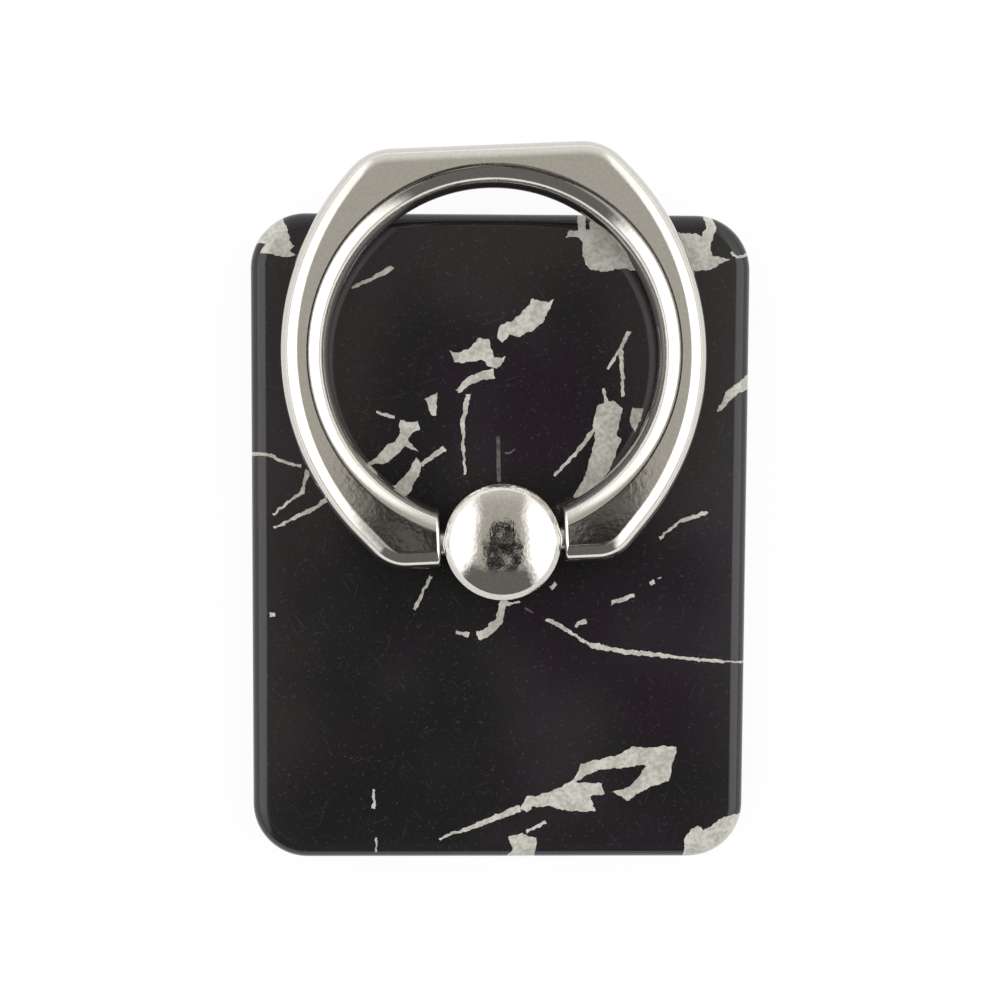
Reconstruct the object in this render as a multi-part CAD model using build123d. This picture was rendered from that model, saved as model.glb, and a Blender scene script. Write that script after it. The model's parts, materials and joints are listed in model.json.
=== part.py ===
from build123d import *
import math
import os

# Phone ring holder, in millimetres.
# The origin is the middle of the pad's sticking face. +Z comes out of the printed face of the plate,
# and +Y runs along the plate to the far end of the ring.

# Back plate, a moulded slab with a rounded front edge
PLATE_WIDTH = 35.0
PLATE_LENGTH = 45.5
PLATE_THICKNESS = 3.2
PLATE_CORNER_RADIUS = 3.9
PLATE_FRONT_ROUND = 1.2
PLATE_BACK_CHAMFER = 0.3

# Adhesive pad, let into a shallow seat in the plate's back
PAD_THICKNESS = 0.9
PAD_SEAT_DEPTH = 0.4
PAD_SEAT_RIM = 1.3
PAD_SIDE_GAP = 0.15

# Finger ring, a casting that is flat at its far end and cut off flat at its two arms.
# Each side is an arc whose centre lies past the ring's middle, and runs on straight to the flats.
FINGER_HOLE_DIAMETER = 22.5
RING_THICKNESS = 3.1
RING_SIDE_WALL = 3.22
RING_FAR_WALL = 2.8
RING_ARC_CENTRE_OFFSET = 3.63
RING_FAR_CHAMFER_ANGLE = 47.0
RING_ARM_CHAMFER_ANGLE = 48.6
RING_FAR_CORNER_RADIUS = 3.8
RING_ARM_CORNER_RADIUS = 3.0
RING_OUTER_ROUND = 1.3
RING_INNER_CROWN = 1.4
RING_END_CHAMFER = 0.28
ARM_ABOVE_HINGE = 2.24
ARM_BELOW_HINGE = 1.62
ARM_SWING_GAP = 0.4
ARM_END_GAP = 0.12

# Hub, a domed button with a bevelled rim on a stem, and a tapered boss on each side for the ring's arms
HUB_DIAMETER = 7.9
HUB_DOME_RADIUS = 13.0
HUB_TOP_ABOVE_HINGE = 2.25
HUB_BEVEL = 0.5
HUB_BASE_CHAMFER = 0.2
HUB_BOSS_REACH = 0.13
HUB_BOSS_ROOT_DIAMETER = 3.5
HUB_BOSS_TIP_DIAMETER = 2.0
HUB_BOSS_ROOT_DEPTH = 0.55
STEM_DIAMETER = 4.0

# Hinge pin, pressed across the hub
PIN_DIAMETER = 1.6
PIN_ENGAGEMENT = 1.1
PIN_END_CHAMFER = 0.15
PIN_END_GAP = 0.15

# Swivel stack behind the plate's middle web
DISC_SPRING_DIAMETER = 7.0
DISC_SPRING_HEIGHT = 0.6
DISC_SPRING_SHEET = 0.25
DISC_SPRING_SIDE_GAP = 0.2
WASHER_DIAMETER = 7.2
WASHER_THICKNESS = 0.35
WASHER_SIDE_GAP = 0.8
SCREW_DIAMETER = 2.0
SCREW_LENGTH = 2.5
SCREW_HEAD_DIAMETER = 3.8
SCREW_HEAD_HEIGHT = 0.55
SCREW_HEAD_CHAMFER = 0.15
SCREW_HEAD_COVER = 0.15
SCREW_TIP_GAP = 0.3
CROSS_RECESS_LENGTH = 2.0
CROSS_RECESS_WIDTH = 0.5
CROSS_RECESS_DEPTH = 0.35

# Clearances between pieces, and the hub's turn on the plate at rest, in degrees
RUNNING_GAP = 0.05
PRESS_GAP = 0.01
PIN_RUNNING_GAP = 0.03
HUB_TURN = 2.7

# Overlap of a cutting tool past the face that it leaves
TOOL_OVERRUN = 1.0

# Largest share of a wall that the round on one of its edges may take
ROUND_SHARE = 0.47

# Heights of the plate and of the stack behind its web
plate_back_z = PAD_THICKNESS - PAD_SEAT_DEPTH
plate_front_z = plate_back_z + PLATE_THICKNESS
screw_head_back_z = PAD_THICKNESS + SCREW_HEAD_COVER
washer_back_z = screw_head_back_z + SCREW_HEAD_HEIGHT
stem_end_z = washer_back_z + WASHER_THICKNESS
spring_back_z = stem_end_z + RUNNING_GAP
web_back_z = spring_back_z + DISC_SPRING_HEIGHT

# The hinge stands high enough for the arms to swing clear of the plate
ring_outer_round = min(RING_OUTER_ROUND, ROUND_SHARE * RING_THICKNESS, ROUND_SHARE * RING_FAR_WALL)
ring_inner_crown = min(RING_INNER_CROWN, 2 * ROUND_SHARE * (RING_FAR_WALL - ring_outer_round))
arm_round_centre = (ARM_BELOW_HINGE - ring_outer_round, RING_THICKNESS / 2 - ring_outer_round)
arm_swing_radius = math.hypot(*arm_round_centre) + ring_outer_round
hinge_z = plate_front_z + arm_swing_radius + ARM_SWING_GAP
hub_base_z = plate_front_z + RUNNING_GAP
hub_top_z = hinge_z + HUB_TOP_ABOVE_HINGE

# Across the hub, from its middle to the boss faces and the arms' ends
hub_radius = HUB_DIAMETER / 2
boss_face_x = hub_radius + HUB_BOSS_REACH
arm_end_x = boss_face_x + ARM_END_GAP

# Along the ring, from the hinge
hole_radius = FINGER_HOLE_DIAMETER / 2
hole_centre_y = ARM_ABOVE_HINGE + math.sqrt(hole_radius**2 - arm_end_x**2)
ring_half_width = hole_radius + RING_SIDE_WALL
ring_far_y = hole_centre_y + hole_radius + RING_FAR_WALL


def rounded_slab(width, length, corner_radius, thickness):
    """A rounded rectangle about the origin, standing on the XY plane."""
    return extrude(RectangleRounded(width, length, corner_radius), thickness)


def base_plate():
    """The back plate, with the pad's seat, the stack's counterbore and the stem's bore."""
    plate = rounded_slab(PLATE_WIDTH, PLATE_LENGTH, PLATE_CORNER_RADIUS, PLATE_THICKNESS)
    plate = fillet(plate.faces().sort_by(Axis.Z)[-1].edges(), PLATE_FRONT_ROUND)
    plate = chamfer(plate.faces().sort_by(Axis.Z)[0].edges(), PLATE_BACK_CHAMFER)
    plate = Pos(0, 0, plate_back_z) * plate

    seat = rounded_slab(
        PLATE_WIDTH - 2 * PAD_SEAT_RIM,
        PLATE_LENGTH - 2 * PAD_SEAT_RIM,
        PLATE_CORNER_RADIUS - PAD_SEAT_RIM,
        PAD_SEAT_DEPTH,
    )
    counterbore = Cylinder(
        WASHER_DIAMETER / 2 + WASHER_SIDE_GAP, web_back_z, align=(Align.CENTER, Align.CENTER, Align.MIN)
    )
    stem_bore = Cylinder(
        STEM_DIAMETER / 2 + RUNNING_GAP,
        plate_front_z + TOOL_OVERRUN,
        align=(Align.CENTER, Align.CENTER, Align.MIN),
    )
    return plate - Pos(0, 0, plate_back_z) * seat - counterbore - stem_bore


def adhesive_pad():
    """The sticky foam pad, proud of the plate's back."""
    inset = PAD_SEAT_RIM + PAD_SIDE_GAP
    return rounded_slab(
        PLATE_WIDTH - 2 * inset, PLATE_LENGTH - 2 * inset, PLATE_CORNER_RADIUS - inset, PAD_THICKNESS
    )


def ring_outline():
    """The ring's outer outline about the hinge: side arcs, tangent chamfers and two flats."""
    arc_centre = Vector(-RING_ARC_CENTRE_OFFSET, hole_centre_y)
    arc_radius = ring_half_width + RING_ARC_CENTRE_OFFSET
    far_slope = math.radians(RING_FAR_CHAMFER_ANGLE)
    arm_slope = math.radians(RING_ARM_CHAMFER_ANGLE)
    far_tangent = arc_centre + arc_radius * Vector(math.sin(far_slope), math.cos(far_slope))
    arm_tangent = arc_centre + arc_radius * Vector(math.sin(arm_slope), -math.cos(arm_slope))
    far_corner_x = far_tangent.X - (ring_far_y - far_tangent.Y) / math.tan(far_slope)
    arm_corner_x = arm_tangent.X - (arm_tangent.Y + ARM_BELOW_HINGE) / math.tan(arm_slope)

    right = [
        Line((arm_corner_x, -ARM_BELOW_HINGE), arm_tangent),
        ThreePointArc(arm_tangent, (ring_half_width, hole_centre_y), far_tangent),
        Line(far_tangent, (far_corner_x, ring_far_y)),
    ]
    left = [mirror(edge, about=Plane.YZ) for edge in right]
    flats = [
        Line((-arm_corner_x, -ARM_BELOW_HINGE), (arm_corner_x, -ARM_BELOW_HINGE)),
        Line((-far_corner_x, ring_far_y), (far_corner_x, ring_far_y)),
    ]
    outline = make_face([*right, *left, *flats])
    outline = fillet(outline.vertices().group_by(Axis.Y)[0], RING_ARM_CORNER_RADIUS)
    return fillet(outline.vertices().group_by(Axis.Y)[-1], RING_FAR_CORNER_RADIUS)


def finger_hole():
    """The cutter of the finger hole, whose waisted side leaves a crowned inner wall."""
    half = RING_THICKNESS / 2
    lid = half + TOOL_OVERRUN
    face_radius = hole_radius + ring_inner_crown
    crown = [
        Bezier((face_radius, end * half), (hole_radius, end * half), (hole_radius, 0)) for end in (-1, 1)
    ]
    rest = Polyline(
        (face_radius, half),
        (face_radius, lid),
        (0, lid),
        (0, -lid),
        (face_radius, -lid),
        (face_radius, -half),
    )
    return revolve(Plane.XZ * make_face([*crown, rest]), Axis.Z)


def ring():
    """The finger ring, rounded inside and out, with a pin socket in the end of each arm."""
    blank = extrude(ring_outline(), RING_THICKNESS / 2, both=True)
    blank = fillet(blank.faces().filter_by(Axis.Z).edges(), ring_outer_round)
    body = blank - Pos(0, hole_centre_y) * finger_hole()

    gap = Box(
        2 * arm_end_x,
        hole_centre_y + ARM_BELOW_HINGE + TOOL_OVERRUN,
        RING_THICKNESS + TOOL_OVERRUN,
        align=(Align.CENTER, Align.MAX, Align.CENTER),
    )
    body = body - Pos(0, hole_centre_y) * gap
    arm_ends = body.faces().filter_by(Axis.X)
    body = chamfer(arm_ends.edges(), RING_END_CHAMFER)

    socket_radius = PIN_DIAMETER / 2 + PIN_RUNNING_GAP
    socket_reach = arm_end_x + PIN_ENGAGEMENT + PIN_END_GAP
    sockets = Rot(0, 90, 0) * Cylinder(socket_radius, 2 * socket_reach)
    return Pos(0, 0, hinge_z) * (body - sockets)


def hub():
    """The domed hub, turned in one with its stem, with bosses, cross bore and screw hole."""
    rim_radius = hub_radius - HUB_BEVEL
    dome_angle = math.degrees(math.asin(rim_radius / HUB_DOME_RADIUS))
    stem_radius = STEM_DIAMETER / 2
    dome = JernArc((0, hub_top_z), (1, 0), HUB_DOME_RADIUS, -dome_angle)
    rim = dome @ 1
    sides = Polyline(
        rim,
        (hub_radius, rim.Y - HUB_BEVEL),
        (hub_radius, hub_base_z + HUB_BASE_CHAMFER),
        (hub_radius - HUB_BASE_CHAMFER, hub_base_z),
        (stem_radius, hub_base_z),
        (stem_radius, stem_end_z),
        (0, stem_end_z),
        (0, hub_top_z),
    )
    body = revolve(Plane.XZ * make_face([dome, sides]), Axis.Z)

    boss_length = HUB_BOSS_ROOT_DEPTH + HUB_BOSS_REACH
    boss = Cone(
        HUB_BOSS_ROOT_DIAMETER / 2,
        HUB_BOSS_TIP_DIAMETER / 2,
        boss_length,
        align=(Align.CENTER, Align.CENTER, Align.MAX),
    )
    for side in (-1, 1):
        body = body + Pos(side * boss_face_x, 0, hinge_z) * Rot(0, side * 90, 0) * boss

    pin_bore = Pos(0, 0, hinge_z) * Rot(0, 90, 0) * Cylinder(PIN_DIAMETER / 2 + PRESS_GAP, 2 * boss_face_x)
    screw_hole = Pos(0, 0, stem_end_z) * Cylinder(
        SCREW_DIAMETER / 2 + PRESS_GAP,
        SCREW_LENGTH - WASHER_THICKNESS + SCREW_TIP_GAP,
        align=(Align.CENTER, Align.CENTER, Align.MIN),
    )
    return body - pin_bore - screw_hole


def hinge_pin():
    """The cross pin, chamfered at both ends."""
    pin = Cylinder(PIN_DIAMETER / 2, 2 * (arm_end_x + PIN_ENGAGEMENT))
    pin = chamfer(pin.edges().filter_by(GeomType.CIRCLE), PIN_END_CHAMFER)
    return Pos(0, 0, hinge_z) * Rot(0, 90, 0) * pin


def disc_spring():
    """The dished spring washer: its outer edge bears on the web, its inner edge faces the flat washer."""
    inner = STEM_DIAMETER / 2 + DISC_SPRING_SIDE_GAP
    outer = DISC_SPRING_DIAMETER / 2
    section = Polyline(
        (inner, 0, spring_back_z),
        (outer, 0, web_back_z - DISC_SPRING_SHEET),
        (outer, 0, web_back_z),
        (inner, 0, spring_back_z + DISC_SPRING_SHEET),
        close=True,
    )
    return revolve(make_face(section), Axis.Z)


def flat_washer():
    """The plain washer that the screw clamps against the end of the stem."""
    disc = Cylinder(WASHER_DIAMETER / 2, WASHER_THICKNESS, align=(Align.CENTER, Align.CENTER, Align.MIN))
    hole = Cylinder(SCREW_DIAMETER / 2 + RUNNING_GAP, 2 * WASHER_THICKNESS + TOOL_OVERRUN)
    return Pos(0, 0, washer_back_z) * (disc - hole)


def screw():
    """The pan-head screw behind the plate, its thread left plain, with a cross recess."""
    head = Cylinder(
        SCREW_HEAD_DIAMETER / 2, SCREW_HEAD_HEIGHT, align=(Align.CENTER, Align.CENTER, Align.MAX)
    )
    head = chamfer(head.edges().sort_by(Axis.Z)[0], SCREW_HEAD_CHAMFER)
    shank = Cylinder(SCREW_DIAMETER / 2, SCREW_LENGTH, align=(Align.CENTER, Align.CENTER, Align.MIN))
    body = head + shank
    slot = Box(
        CROSS_RECESS_LENGTH,
        CROSS_RECESS_WIDTH,
        CROSS_RECESS_DEPTH,
        align=(Align.CENTER, Align.CENTER, Align.MIN),
    )
    for turn in (0, 90):
        body = body - Pos(0, 0, -SCREW_HEAD_HEIGHT) * Rot(0, 0, turn) * slot
    return Pos(0, 0, washer_back_z) * body


FIXED_PIECES = {
    "base_plate": base_plate,
    "adhesive_pad": adhesive_pad,
    "disc_spring": disc_spring,
}
TURNING_PIECES = {
    "hub": hub,
    "hinge_pin": hinge_pin,
    "flat_washer": flat_washer,
    "screw": screw,
    "ring": ring,
}

os.makedirs("parts", exist_ok=True)
for node, make in FIXED_PIECES.items():
    export_step(make(), f"parts/{node}.step")
for node, make in TURNING_PIECES.items():
    export_step(Rot(0, 0, HUB_TURN) * make(), f"parts/{node}.step")
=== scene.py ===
"""Phone ring holder: a glossy black plate with a marble print, a chrome finger ring and its domed hub.

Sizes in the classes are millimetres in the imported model's frame: the origin is the middle of the pad's
sticking face, +Z comes out of the printed face and +Y runs to the far end of the ring.
"""

from __future__ import annotations

import json
import logging
import math
from collections.abc import Sequence
from dataclasses import dataclass, replace
from enum import Enum
from typing import Any

import bpy
from mathutils import Euler, Matrix, Vector, noise
from mathutils.geometry import delaunay_2d_cdt

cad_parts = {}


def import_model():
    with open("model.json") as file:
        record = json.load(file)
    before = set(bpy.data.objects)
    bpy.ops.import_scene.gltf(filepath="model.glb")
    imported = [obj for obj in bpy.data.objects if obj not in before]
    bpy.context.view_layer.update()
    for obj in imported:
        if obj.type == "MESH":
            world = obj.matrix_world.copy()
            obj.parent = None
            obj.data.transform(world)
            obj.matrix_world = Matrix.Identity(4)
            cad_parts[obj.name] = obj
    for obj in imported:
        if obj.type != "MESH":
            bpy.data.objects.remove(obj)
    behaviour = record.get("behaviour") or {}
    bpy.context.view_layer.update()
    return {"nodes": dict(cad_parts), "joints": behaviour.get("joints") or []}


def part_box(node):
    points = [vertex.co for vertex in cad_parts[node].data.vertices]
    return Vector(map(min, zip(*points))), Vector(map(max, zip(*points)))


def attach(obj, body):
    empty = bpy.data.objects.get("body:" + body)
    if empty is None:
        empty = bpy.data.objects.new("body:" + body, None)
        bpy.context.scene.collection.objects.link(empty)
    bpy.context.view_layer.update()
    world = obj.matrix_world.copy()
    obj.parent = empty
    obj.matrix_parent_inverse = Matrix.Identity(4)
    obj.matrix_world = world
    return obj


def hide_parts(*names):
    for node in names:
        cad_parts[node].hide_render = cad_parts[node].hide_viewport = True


MM = 0.001
UP = Vector((0, 0, 1))
WHITE = "#ffffff"
log = logging.getLogger("ring_holder")

# Sizes that two pieces share: the plate's corner radius, and the hub's gap over the plate
PLATE_CORNER = 3.9
HUB_GAP = 0.05

# How close, in millimetres, corners of a flat face have to lie to become one
FILL_TOLERANCE = 1e-6

# The middle level of a noise pattern
NOISE_MIDDLE = 0.5

Pixel = tuple[float, float]
Span = tuple[float, float]
Loop = Sequence[tuple[Vector, Vector]]

# Node types and settings that many trees use, and the sockets of a colour Mix, whose names repeat
NOISE, RANGE = "ShaderNodeTexNoise", "ShaderNodeMapRange"
MATH, MIX = "ShaderNodeMath", "ShaderNodeMix"
SMOOTH = {"interpolation_type": "SMOOTHSTEP"}
COLOURS = {"data_type": "RGBA"}
MIX_FACTOR, MIX_A, MIX_B = 0, 6, 7


class Body(Enum):
    """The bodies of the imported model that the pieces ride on."""

    BASE = "base"
    HUB = "hub"
    RING = "ring"


class Ink(Enum):
    """The plate's finishes, by their numbers in its mesh."""

    GROUND = 0
    GREY = 1
    FAINT = 2
    BACK = 3


class Slot(Enum):
    """The record's material slots."""

    PRINT = "printed_plastic"
    FOAM = "foam_tape"
    CHROME = "chrome_plate"


def linear(colour: str) -> tuple[float, float, float, float]:
    """Turns an sRGB colour into the linear one that sockets hold.

    Args:
        colour: the colour as "#rrggbb".

    Returns:
        Red, green, blue and an alpha of one.
    """
    shares = [int(colour[start : start + 2], 16) / 255 for start in (1, 3, 5)]
    red, green, blue = (s / 12.92 if s <= 0.04045 else ((s + 0.055) / 1.055) ** 2.4 for s in shares)
    return red, green, blue, 1.0


def feed(tree: bpy.types.NodeTree, node: bpy.types.Node, inputs: dict[str | int, Any]) -> None:
    """Sets or links a node's inputs.

    Args:
        tree: the node's tree.
        node: the node.
        inputs: what each input takes, by name or number: a value, a socket, a node, which stands for the
            first of its outputs in use, or a list of these.
    """
    for key, value in inputs.items():
        for source in value if isinstance(value, list) else [value]:
            if isinstance(source, bpy.types.Node):
                source = next(socket for socket in source.outputs if socket.enabled)
            if isinstance(source, bpy.types.NodeSocket):
                tree.links.new(source, node.inputs[key])
            else:
                node.inputs[key].default_value = source


def add_node(
    tree: bpy.types.NodeTree, kind: str, inputs: dict[str | int, Any] | None = None, **settings: Any
) -> bpy.types.Node:
    """Adds a node with its settings, values and links.

    Args:
        tree: the shader, world or geometry tree.
        kind: the node's Blender type.
        inputs: what its inputs take, as in feed.
        **settings: the node's own properties.

    Returns:
        The new node.
    """
    node = tree.nodes.new(kind)
    for name, value in settings.items():
        setattr(node, name, value)
    feed(tree, node, inputs or {})
    return node


@dataclass(frozen=True)
class Surface:
    """A new material with its shader and the piece's own coordinates, in metres.

    Attributes:
        material: the material itself.
        tree: its node tree.
        shader: its Principled shader.
        place: the object coordinates.
    """

    material: bpy.types.Material
    tree: bpy.types.NodeTree
    shader: bpy.types.Node
    place: bpy.types.NodeSocket

    @classmethod
    def named(cls, name: str) -> Surface:
        """Makes a material with an empty pattern.

        Args:
            name: the real material's name.

        Returns:
            The new surface.
        """
        material = bpy.data.materials.new(name)
        material.use_nodes = True
        tree = material.node_tree
        tree.nodes.clear()
        shader = add_node(tree, "ShaderNodeBsdfPrincipled")
        add_node(tree, "ShaderNodeOutputMaterial", {"Surface": shader})
        return cls(material, tree, shader, add_node(tree, "ShaderNodeTexCoord").outputs["Object"])

    def pattern(self, size: float, detail: float) -> dict[str, Any]:
        """What a noise pattern takes.

        Args:
            size: the width of its marks.
            detail: how many times finer marks come on top.

        Returns:
            Its inputs.
        """
        return {"Vector": self.place, "Scale": 1 / (size * MM), "Detail": detail}

    def dressed(self, inputs: dict[str | int, Any]) -> bpy.types.Material:
        """Feeds the shader.

        Args:
            inputs: what the shader's inputs take.

        Returns:
            The finished material.
        """
        feed(self.tree, self.shader, inputs)
        return self.material


@dataclass(frozen=True)
class GlossBlackPrint:
    """The print's black ground under a clear film, cast smooth.

    The eye gets a deep black with faint purple clouds, dust-like specks and short hairline scratches.

    Attributes:
        black, cloud, speck: the colours of the ground, of its clouds and of its specks and scratches.
        cloud_size, speck_size: widths of the clouds and of the specks.
        scratch_width, scratch_length, scratch_turns: the scratches' sizes, and their ways in degrees.
        cloud_reach, speck_reach, scratch_reach: the levels of each pattern at which it begins and is full.
        speck_share, scratch_share: how strongly these marks show.
        roughness, gloss: how far the film blurs what it mirrors, and how strongly it mirrors.
    """

    black: str = "#1b1a1a"
    cloud: str = "#1f191f"
    speck: str = "#4d474d"
    cloud_size: float = 9.0
    cloud_reach: Span = (0.46, 0.66)
    speck_size: float = 0.2
    speck_reach: Span = (0.64, 0.84)
    speck_share: float = 0.5
    scratch_width: float = 0.16
    scratch_length: float = 2.6
    scratch_turns: tuple[float, ...] = (18.0, 74.0, 128.0)
    scratch_reach: Span = (0.76, 0.88)
    scratch_share: float = 0.2
    roughness: float = 0.1
    gloss: float = 0.42

    def make(self) -> bpy.types.Material:
        """Makes the material."""
        surface = Surface.named("gloss_black_marble_print")
        tree, place = surface.tree, surface.place
        clouds = add_node(tree, NOISE, surface.pattern(self.cloud_size, 3.0))
        start, full = self.cloud_reach
        cloudy = add_node(tree, RANGE, {"Value": clouds, "From Min": start, "From Max": full}, **SMOOTH)
        ground = add_node(
            tree, MIX, {MIX_FACTOR: cloudy, MIX_A: linear(self.black), MIX_B: linear(self.cloud)}, **COLOURS
        )
        specks = add_node(tree, NOISE, surface.pattern(self.speck_size, 1.0))
        start, full = self.speck_reach
        mark = add_node(
            tree, RANGE, {"Value": specks, "From Min": start, "From Max": full, "To Max": self.speck_share}
        )
        start, full = self.scratch_reach
        for turn in self.scratch_turns:
            stretched = add_node(
                tree,
                "ShaderNodeMapping",
                {
                    "Vector": place,
                    "Rotation": (0, 0, math.radians(turn)),
                    "Scale": (self.scratch_length * MM, self.scratch_width * MM, 1),
                },
                vector_type="TEXTURE",
            )
            streaks = add_node(tree, NOISE, {"Vector": stretched, "Scale": 1.0, "Detail": 0.0})
            scratch = add_node(
                tree,
                RANGE,
                {"Value": streaks, "From Min": start, "From Max": full, "To Max": self.scratch_share},
            )
            mark = add_node(tree, MATH, {0: mark, 1: scratch}, operation="MAXIMUM")
        colour = add_node(
            tree, MIX, {MIX_FACTOR: mark, MIX_A: ground, MIX_B: linear(self.speck)}, **COLOURS
        )
        return surface.dressed(
            {"Base Color": colour, "Roughness": self.roughness, "Specular IOR Level": self.gloss}
        )


@dataclass(frozen=True)
class VeinPrint:
    """The print's veins under the same clear film, mottled like calcite.

    Attributes:
        name: the real material's name.
        pale, dull: the colours of its mottling.
        mottle_size, grain_size: widths of its patches and of its grain.
        mottle_reach: the levels of both together at which the pale colour begins and is full.
        roughness, gloss: how far the film blurs what it mirrors, and how strongly it mirrors.
    """

    name: str
    pale: str
    dull: str
    mottle_size: float = 1.3
    grain_size: float = 0.28
    mottle_reach: Span = (0.8, 1.2)
    roughness: float = 0.1
    gloss: float = 0.42

    def make(self) -> bpy.types.Material:
        """Makes the material."""
        surface = Surface.named(self.name)
        tree = surface.tree
        mottle = add_node(tree, NOISE, surface.pattern(self.mottle_size, 2.0))
        grain = add_node(tree, NOISE, surface.pattern(self.grain_size, 1.0))
        both = add_node(tree, MATH, {0: mottle, 1: grain}, operation="ADD")
        start, full = self.mottle_reach
        share = add_node(tree, RANGE, {"Value": both, "From Min": start, "From Max": full})
        colour = add_node(
            tree, MIX, {MIX_FACTOR: share, MIX_A: linear(self.dull), MIX_B: linear(self.pale)}, **COLOURS
        )
        return surface.dressed(
            {"Base Color": colour, "Roughness": self.roughness, "Specular IOR Level": self.gloss}
        )


# Warm grey ink: reads as calcite veins in black marble
GREY_VEIN = VeinPrint(name="grey_vein_marble_print", pale="#bebcb4", dull="#9f9c93")

# The same ink let down nearly to the ground: hair veins that only just show
FAINT_VEIN = VeinPrint(name="faint_vein_marble_print", pale="#5d5a58", dull="#403d3e")


@dataclass(frozen=True)
class GrainedMetal:
    """A metal with a fine relief, which breaks up the edges of what it mirrors.

    Attributes:
        name: the real material's name.
        colour: the metal's colour face on.
        roughness: how far it blurs what it mirrors.
        coarse_size, fine_size: widths of the relief's waves.
        coarse_depth, fine_depth: their heights.
        tint: a second colour, for patches of tarnish or plating.
        tint_size: the width of those patches.
    """

    name: str
    colour: str
    roughness: float
    coarse_size: float
    coarse_depth: float
    fine_size: float
    fine_depth: float
    tint: str
    tint_size: float

    def make(self) -> bpy.types.Material:
        """Makes the material."""
        surface = Surface.named(self.name)
        tree = surface.tree
        patches = add_node(tree, NOISE, surface.pattern(self.tint_size, 2.0))
        colour = add_node(
            tree, MIX, {MIX_FACTOR: patches, MIX_A: linear(self.colour), MIX_B: linear(self.tint)}, **COLOURS
        )
        relief: dict[str, Any] = {}
        for size, depth in ((self.coarse_size, self.coarse_depth), (self.fine_size, self.fine_depth)):
            waves = add_node(tree, NOISE, surface.pattern(size, 1.0))
            bumps = {"Height": waves, "Strength": 1.0, "Distance": depth * MM, **relief}
            relief = {"Normal": add_node(tree, "ShaderNodeBump", bumps)}
        return surface.dressed(
            {"Base Color": colour, "Metallic": 1.0, "Roughness": self.roughness, **relief}
        )


# Bright chrome over a tumbled zinc casting: mirror-like, faintly warm, with the orange peel of the casting
CHROME = GrainedMetal(
    name="chrome_plated_zinc_casting",
    colour="#e6e3de",
    roughness=0.07,
    coarse_size=0.25,
    coarse_depth=0.0045,
    fine_size=0.11,
    fine_depth=0.0012,
    tint="#b9b6ae",
    tint_size=0.2,
)

# The same plating over the ring, whose broad faces were ground before it: a shallower orange peel
RING_CHROME = replace(
    CHROME,
    name="chrome_plated_ground_casting",
    colour="#dedbd5",
    coarse_size=0.34,
    coarse_depth=0.0019,
    fine_depth=0.0002,
    tint="#c5c2bb",
)

# Zinc plating on cold-headed steel: a soft grey shine with duller patches
ZINC = GrainedMetal(
    name="zinc_plated_steel",
    colour="#c3c6c9",
    roughness=0.32,
    coarse_size=0.3,
    coarse_depth=0.003,
    fine_size=0.08,
    fine_depth=0.001,
    tint="#a7a9a8",
    tint_size=0.7,
)

# Spring steel, stamped and tempered: darker, with a brown cast from the heat
SPRING_STEEL = GrainedMetal(
    name="tempered_spring_steel",
    colour="#8f8c88",
    roughness=0.38,
    coarse_size=0.35,
    coarse_depth=0.003,
    fine_size=0.09,
    fine_depth=0.001,
    tint="#77706a",
    tint_size=0.9,
)


@dataclass(frozen=True)
class MouldedPlastic:
    """Black moulded plastic on the plate's unprinted back, with a fine spark-eroded grain."""

    colour: str = "#1c1c1d"
    worn: str = "#262627"
    grain_size: float = 0.18
    grain_depth: float = 0.006
    roughness: float = 0.46

    def make(self) -> bpy.types.Material:
        """Makes the material."""
        surface = Surface.named("black_moulded_abs")
        tree = surface.tree
        grain = add_node(tree, NOISE, surface.pattern(self.grain_size, 2.0))
        colour = add_node(
            tree, MIX, {MIX_FACTOR: grain, MIX_A: linear(self.colour), MIX_B: linear(self.worn)}, **COLOURS
        )
        bumps = {"Height": grain, "Strength": 1.0, "Distance": self.grain_depth * MM}
        relief = add_node(tree, "ShaderNodeBump", bumps)
        return surface.dressed({"Base Color": colour, "Normal": relief, "Roughness": self.roughness})


@dataclass(frozen=True)
class FoamTape:
    """Closed-cell acrylic foam tape, die cut: matt charcoal with cells that show as tiny pits. Their hollows
    are painted darker, as painted shade in the pits.

    Attributes:
        colour, pit_shade_colour: the colours of the cells' walls and of their hollows.
        cell_size, cell_depth: their width and depth.
        colour, pit_shade_colour: the colour of the cells' walls, and the darker colour painted into their
            hollows as painted shade.
    """

    colour: str = "#3a3a3b"
    pit_shade_colour: str = "#29292a"
    cell_size: float = 0.35
    cell_depth: float = 0.03
    wall_reach: Span = (0.1, 0.55)
    roughness: float = 0.72

    def make(self) -> bpy.types.Material:
        """Makes the material."""
        surface = Surface.named("acrylic_foam_tape")
        tree = surface.tree
        where = {"Vector": surface.place, "Scale": 1 / (self.cell_size * MM)}
        cells = add_node(tree, "ShaderNodeTexVoronoi", where, feature="F1")
        start, full = self.wall_reach
        wall = add_node(tree, RANGE, {"Value": cells, "From Min": start, "From Max": full}, **SMOOTH)
        # Painted shade: the cells' hollows are coloured darker than their walls, by the same mask as the
        # bump.
        colours = {MIX_A: linear(self.pit_shade_colour), MIX_B: linear(self.colour)}
        colour = add_node(tree, MIX, {MIX_FACTOR: wall, **colours}, **COLOURS)
        bumps = {"Height": wall, "Strength": 1.0, "Distance": self.cell_depth * MM}
        relief = add_node(tree, "ShaderNodeBump", bumps)
        return surface.dressed({"Base Color": colour, "Normal": relief, "Roughness": self.roughness})


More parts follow.
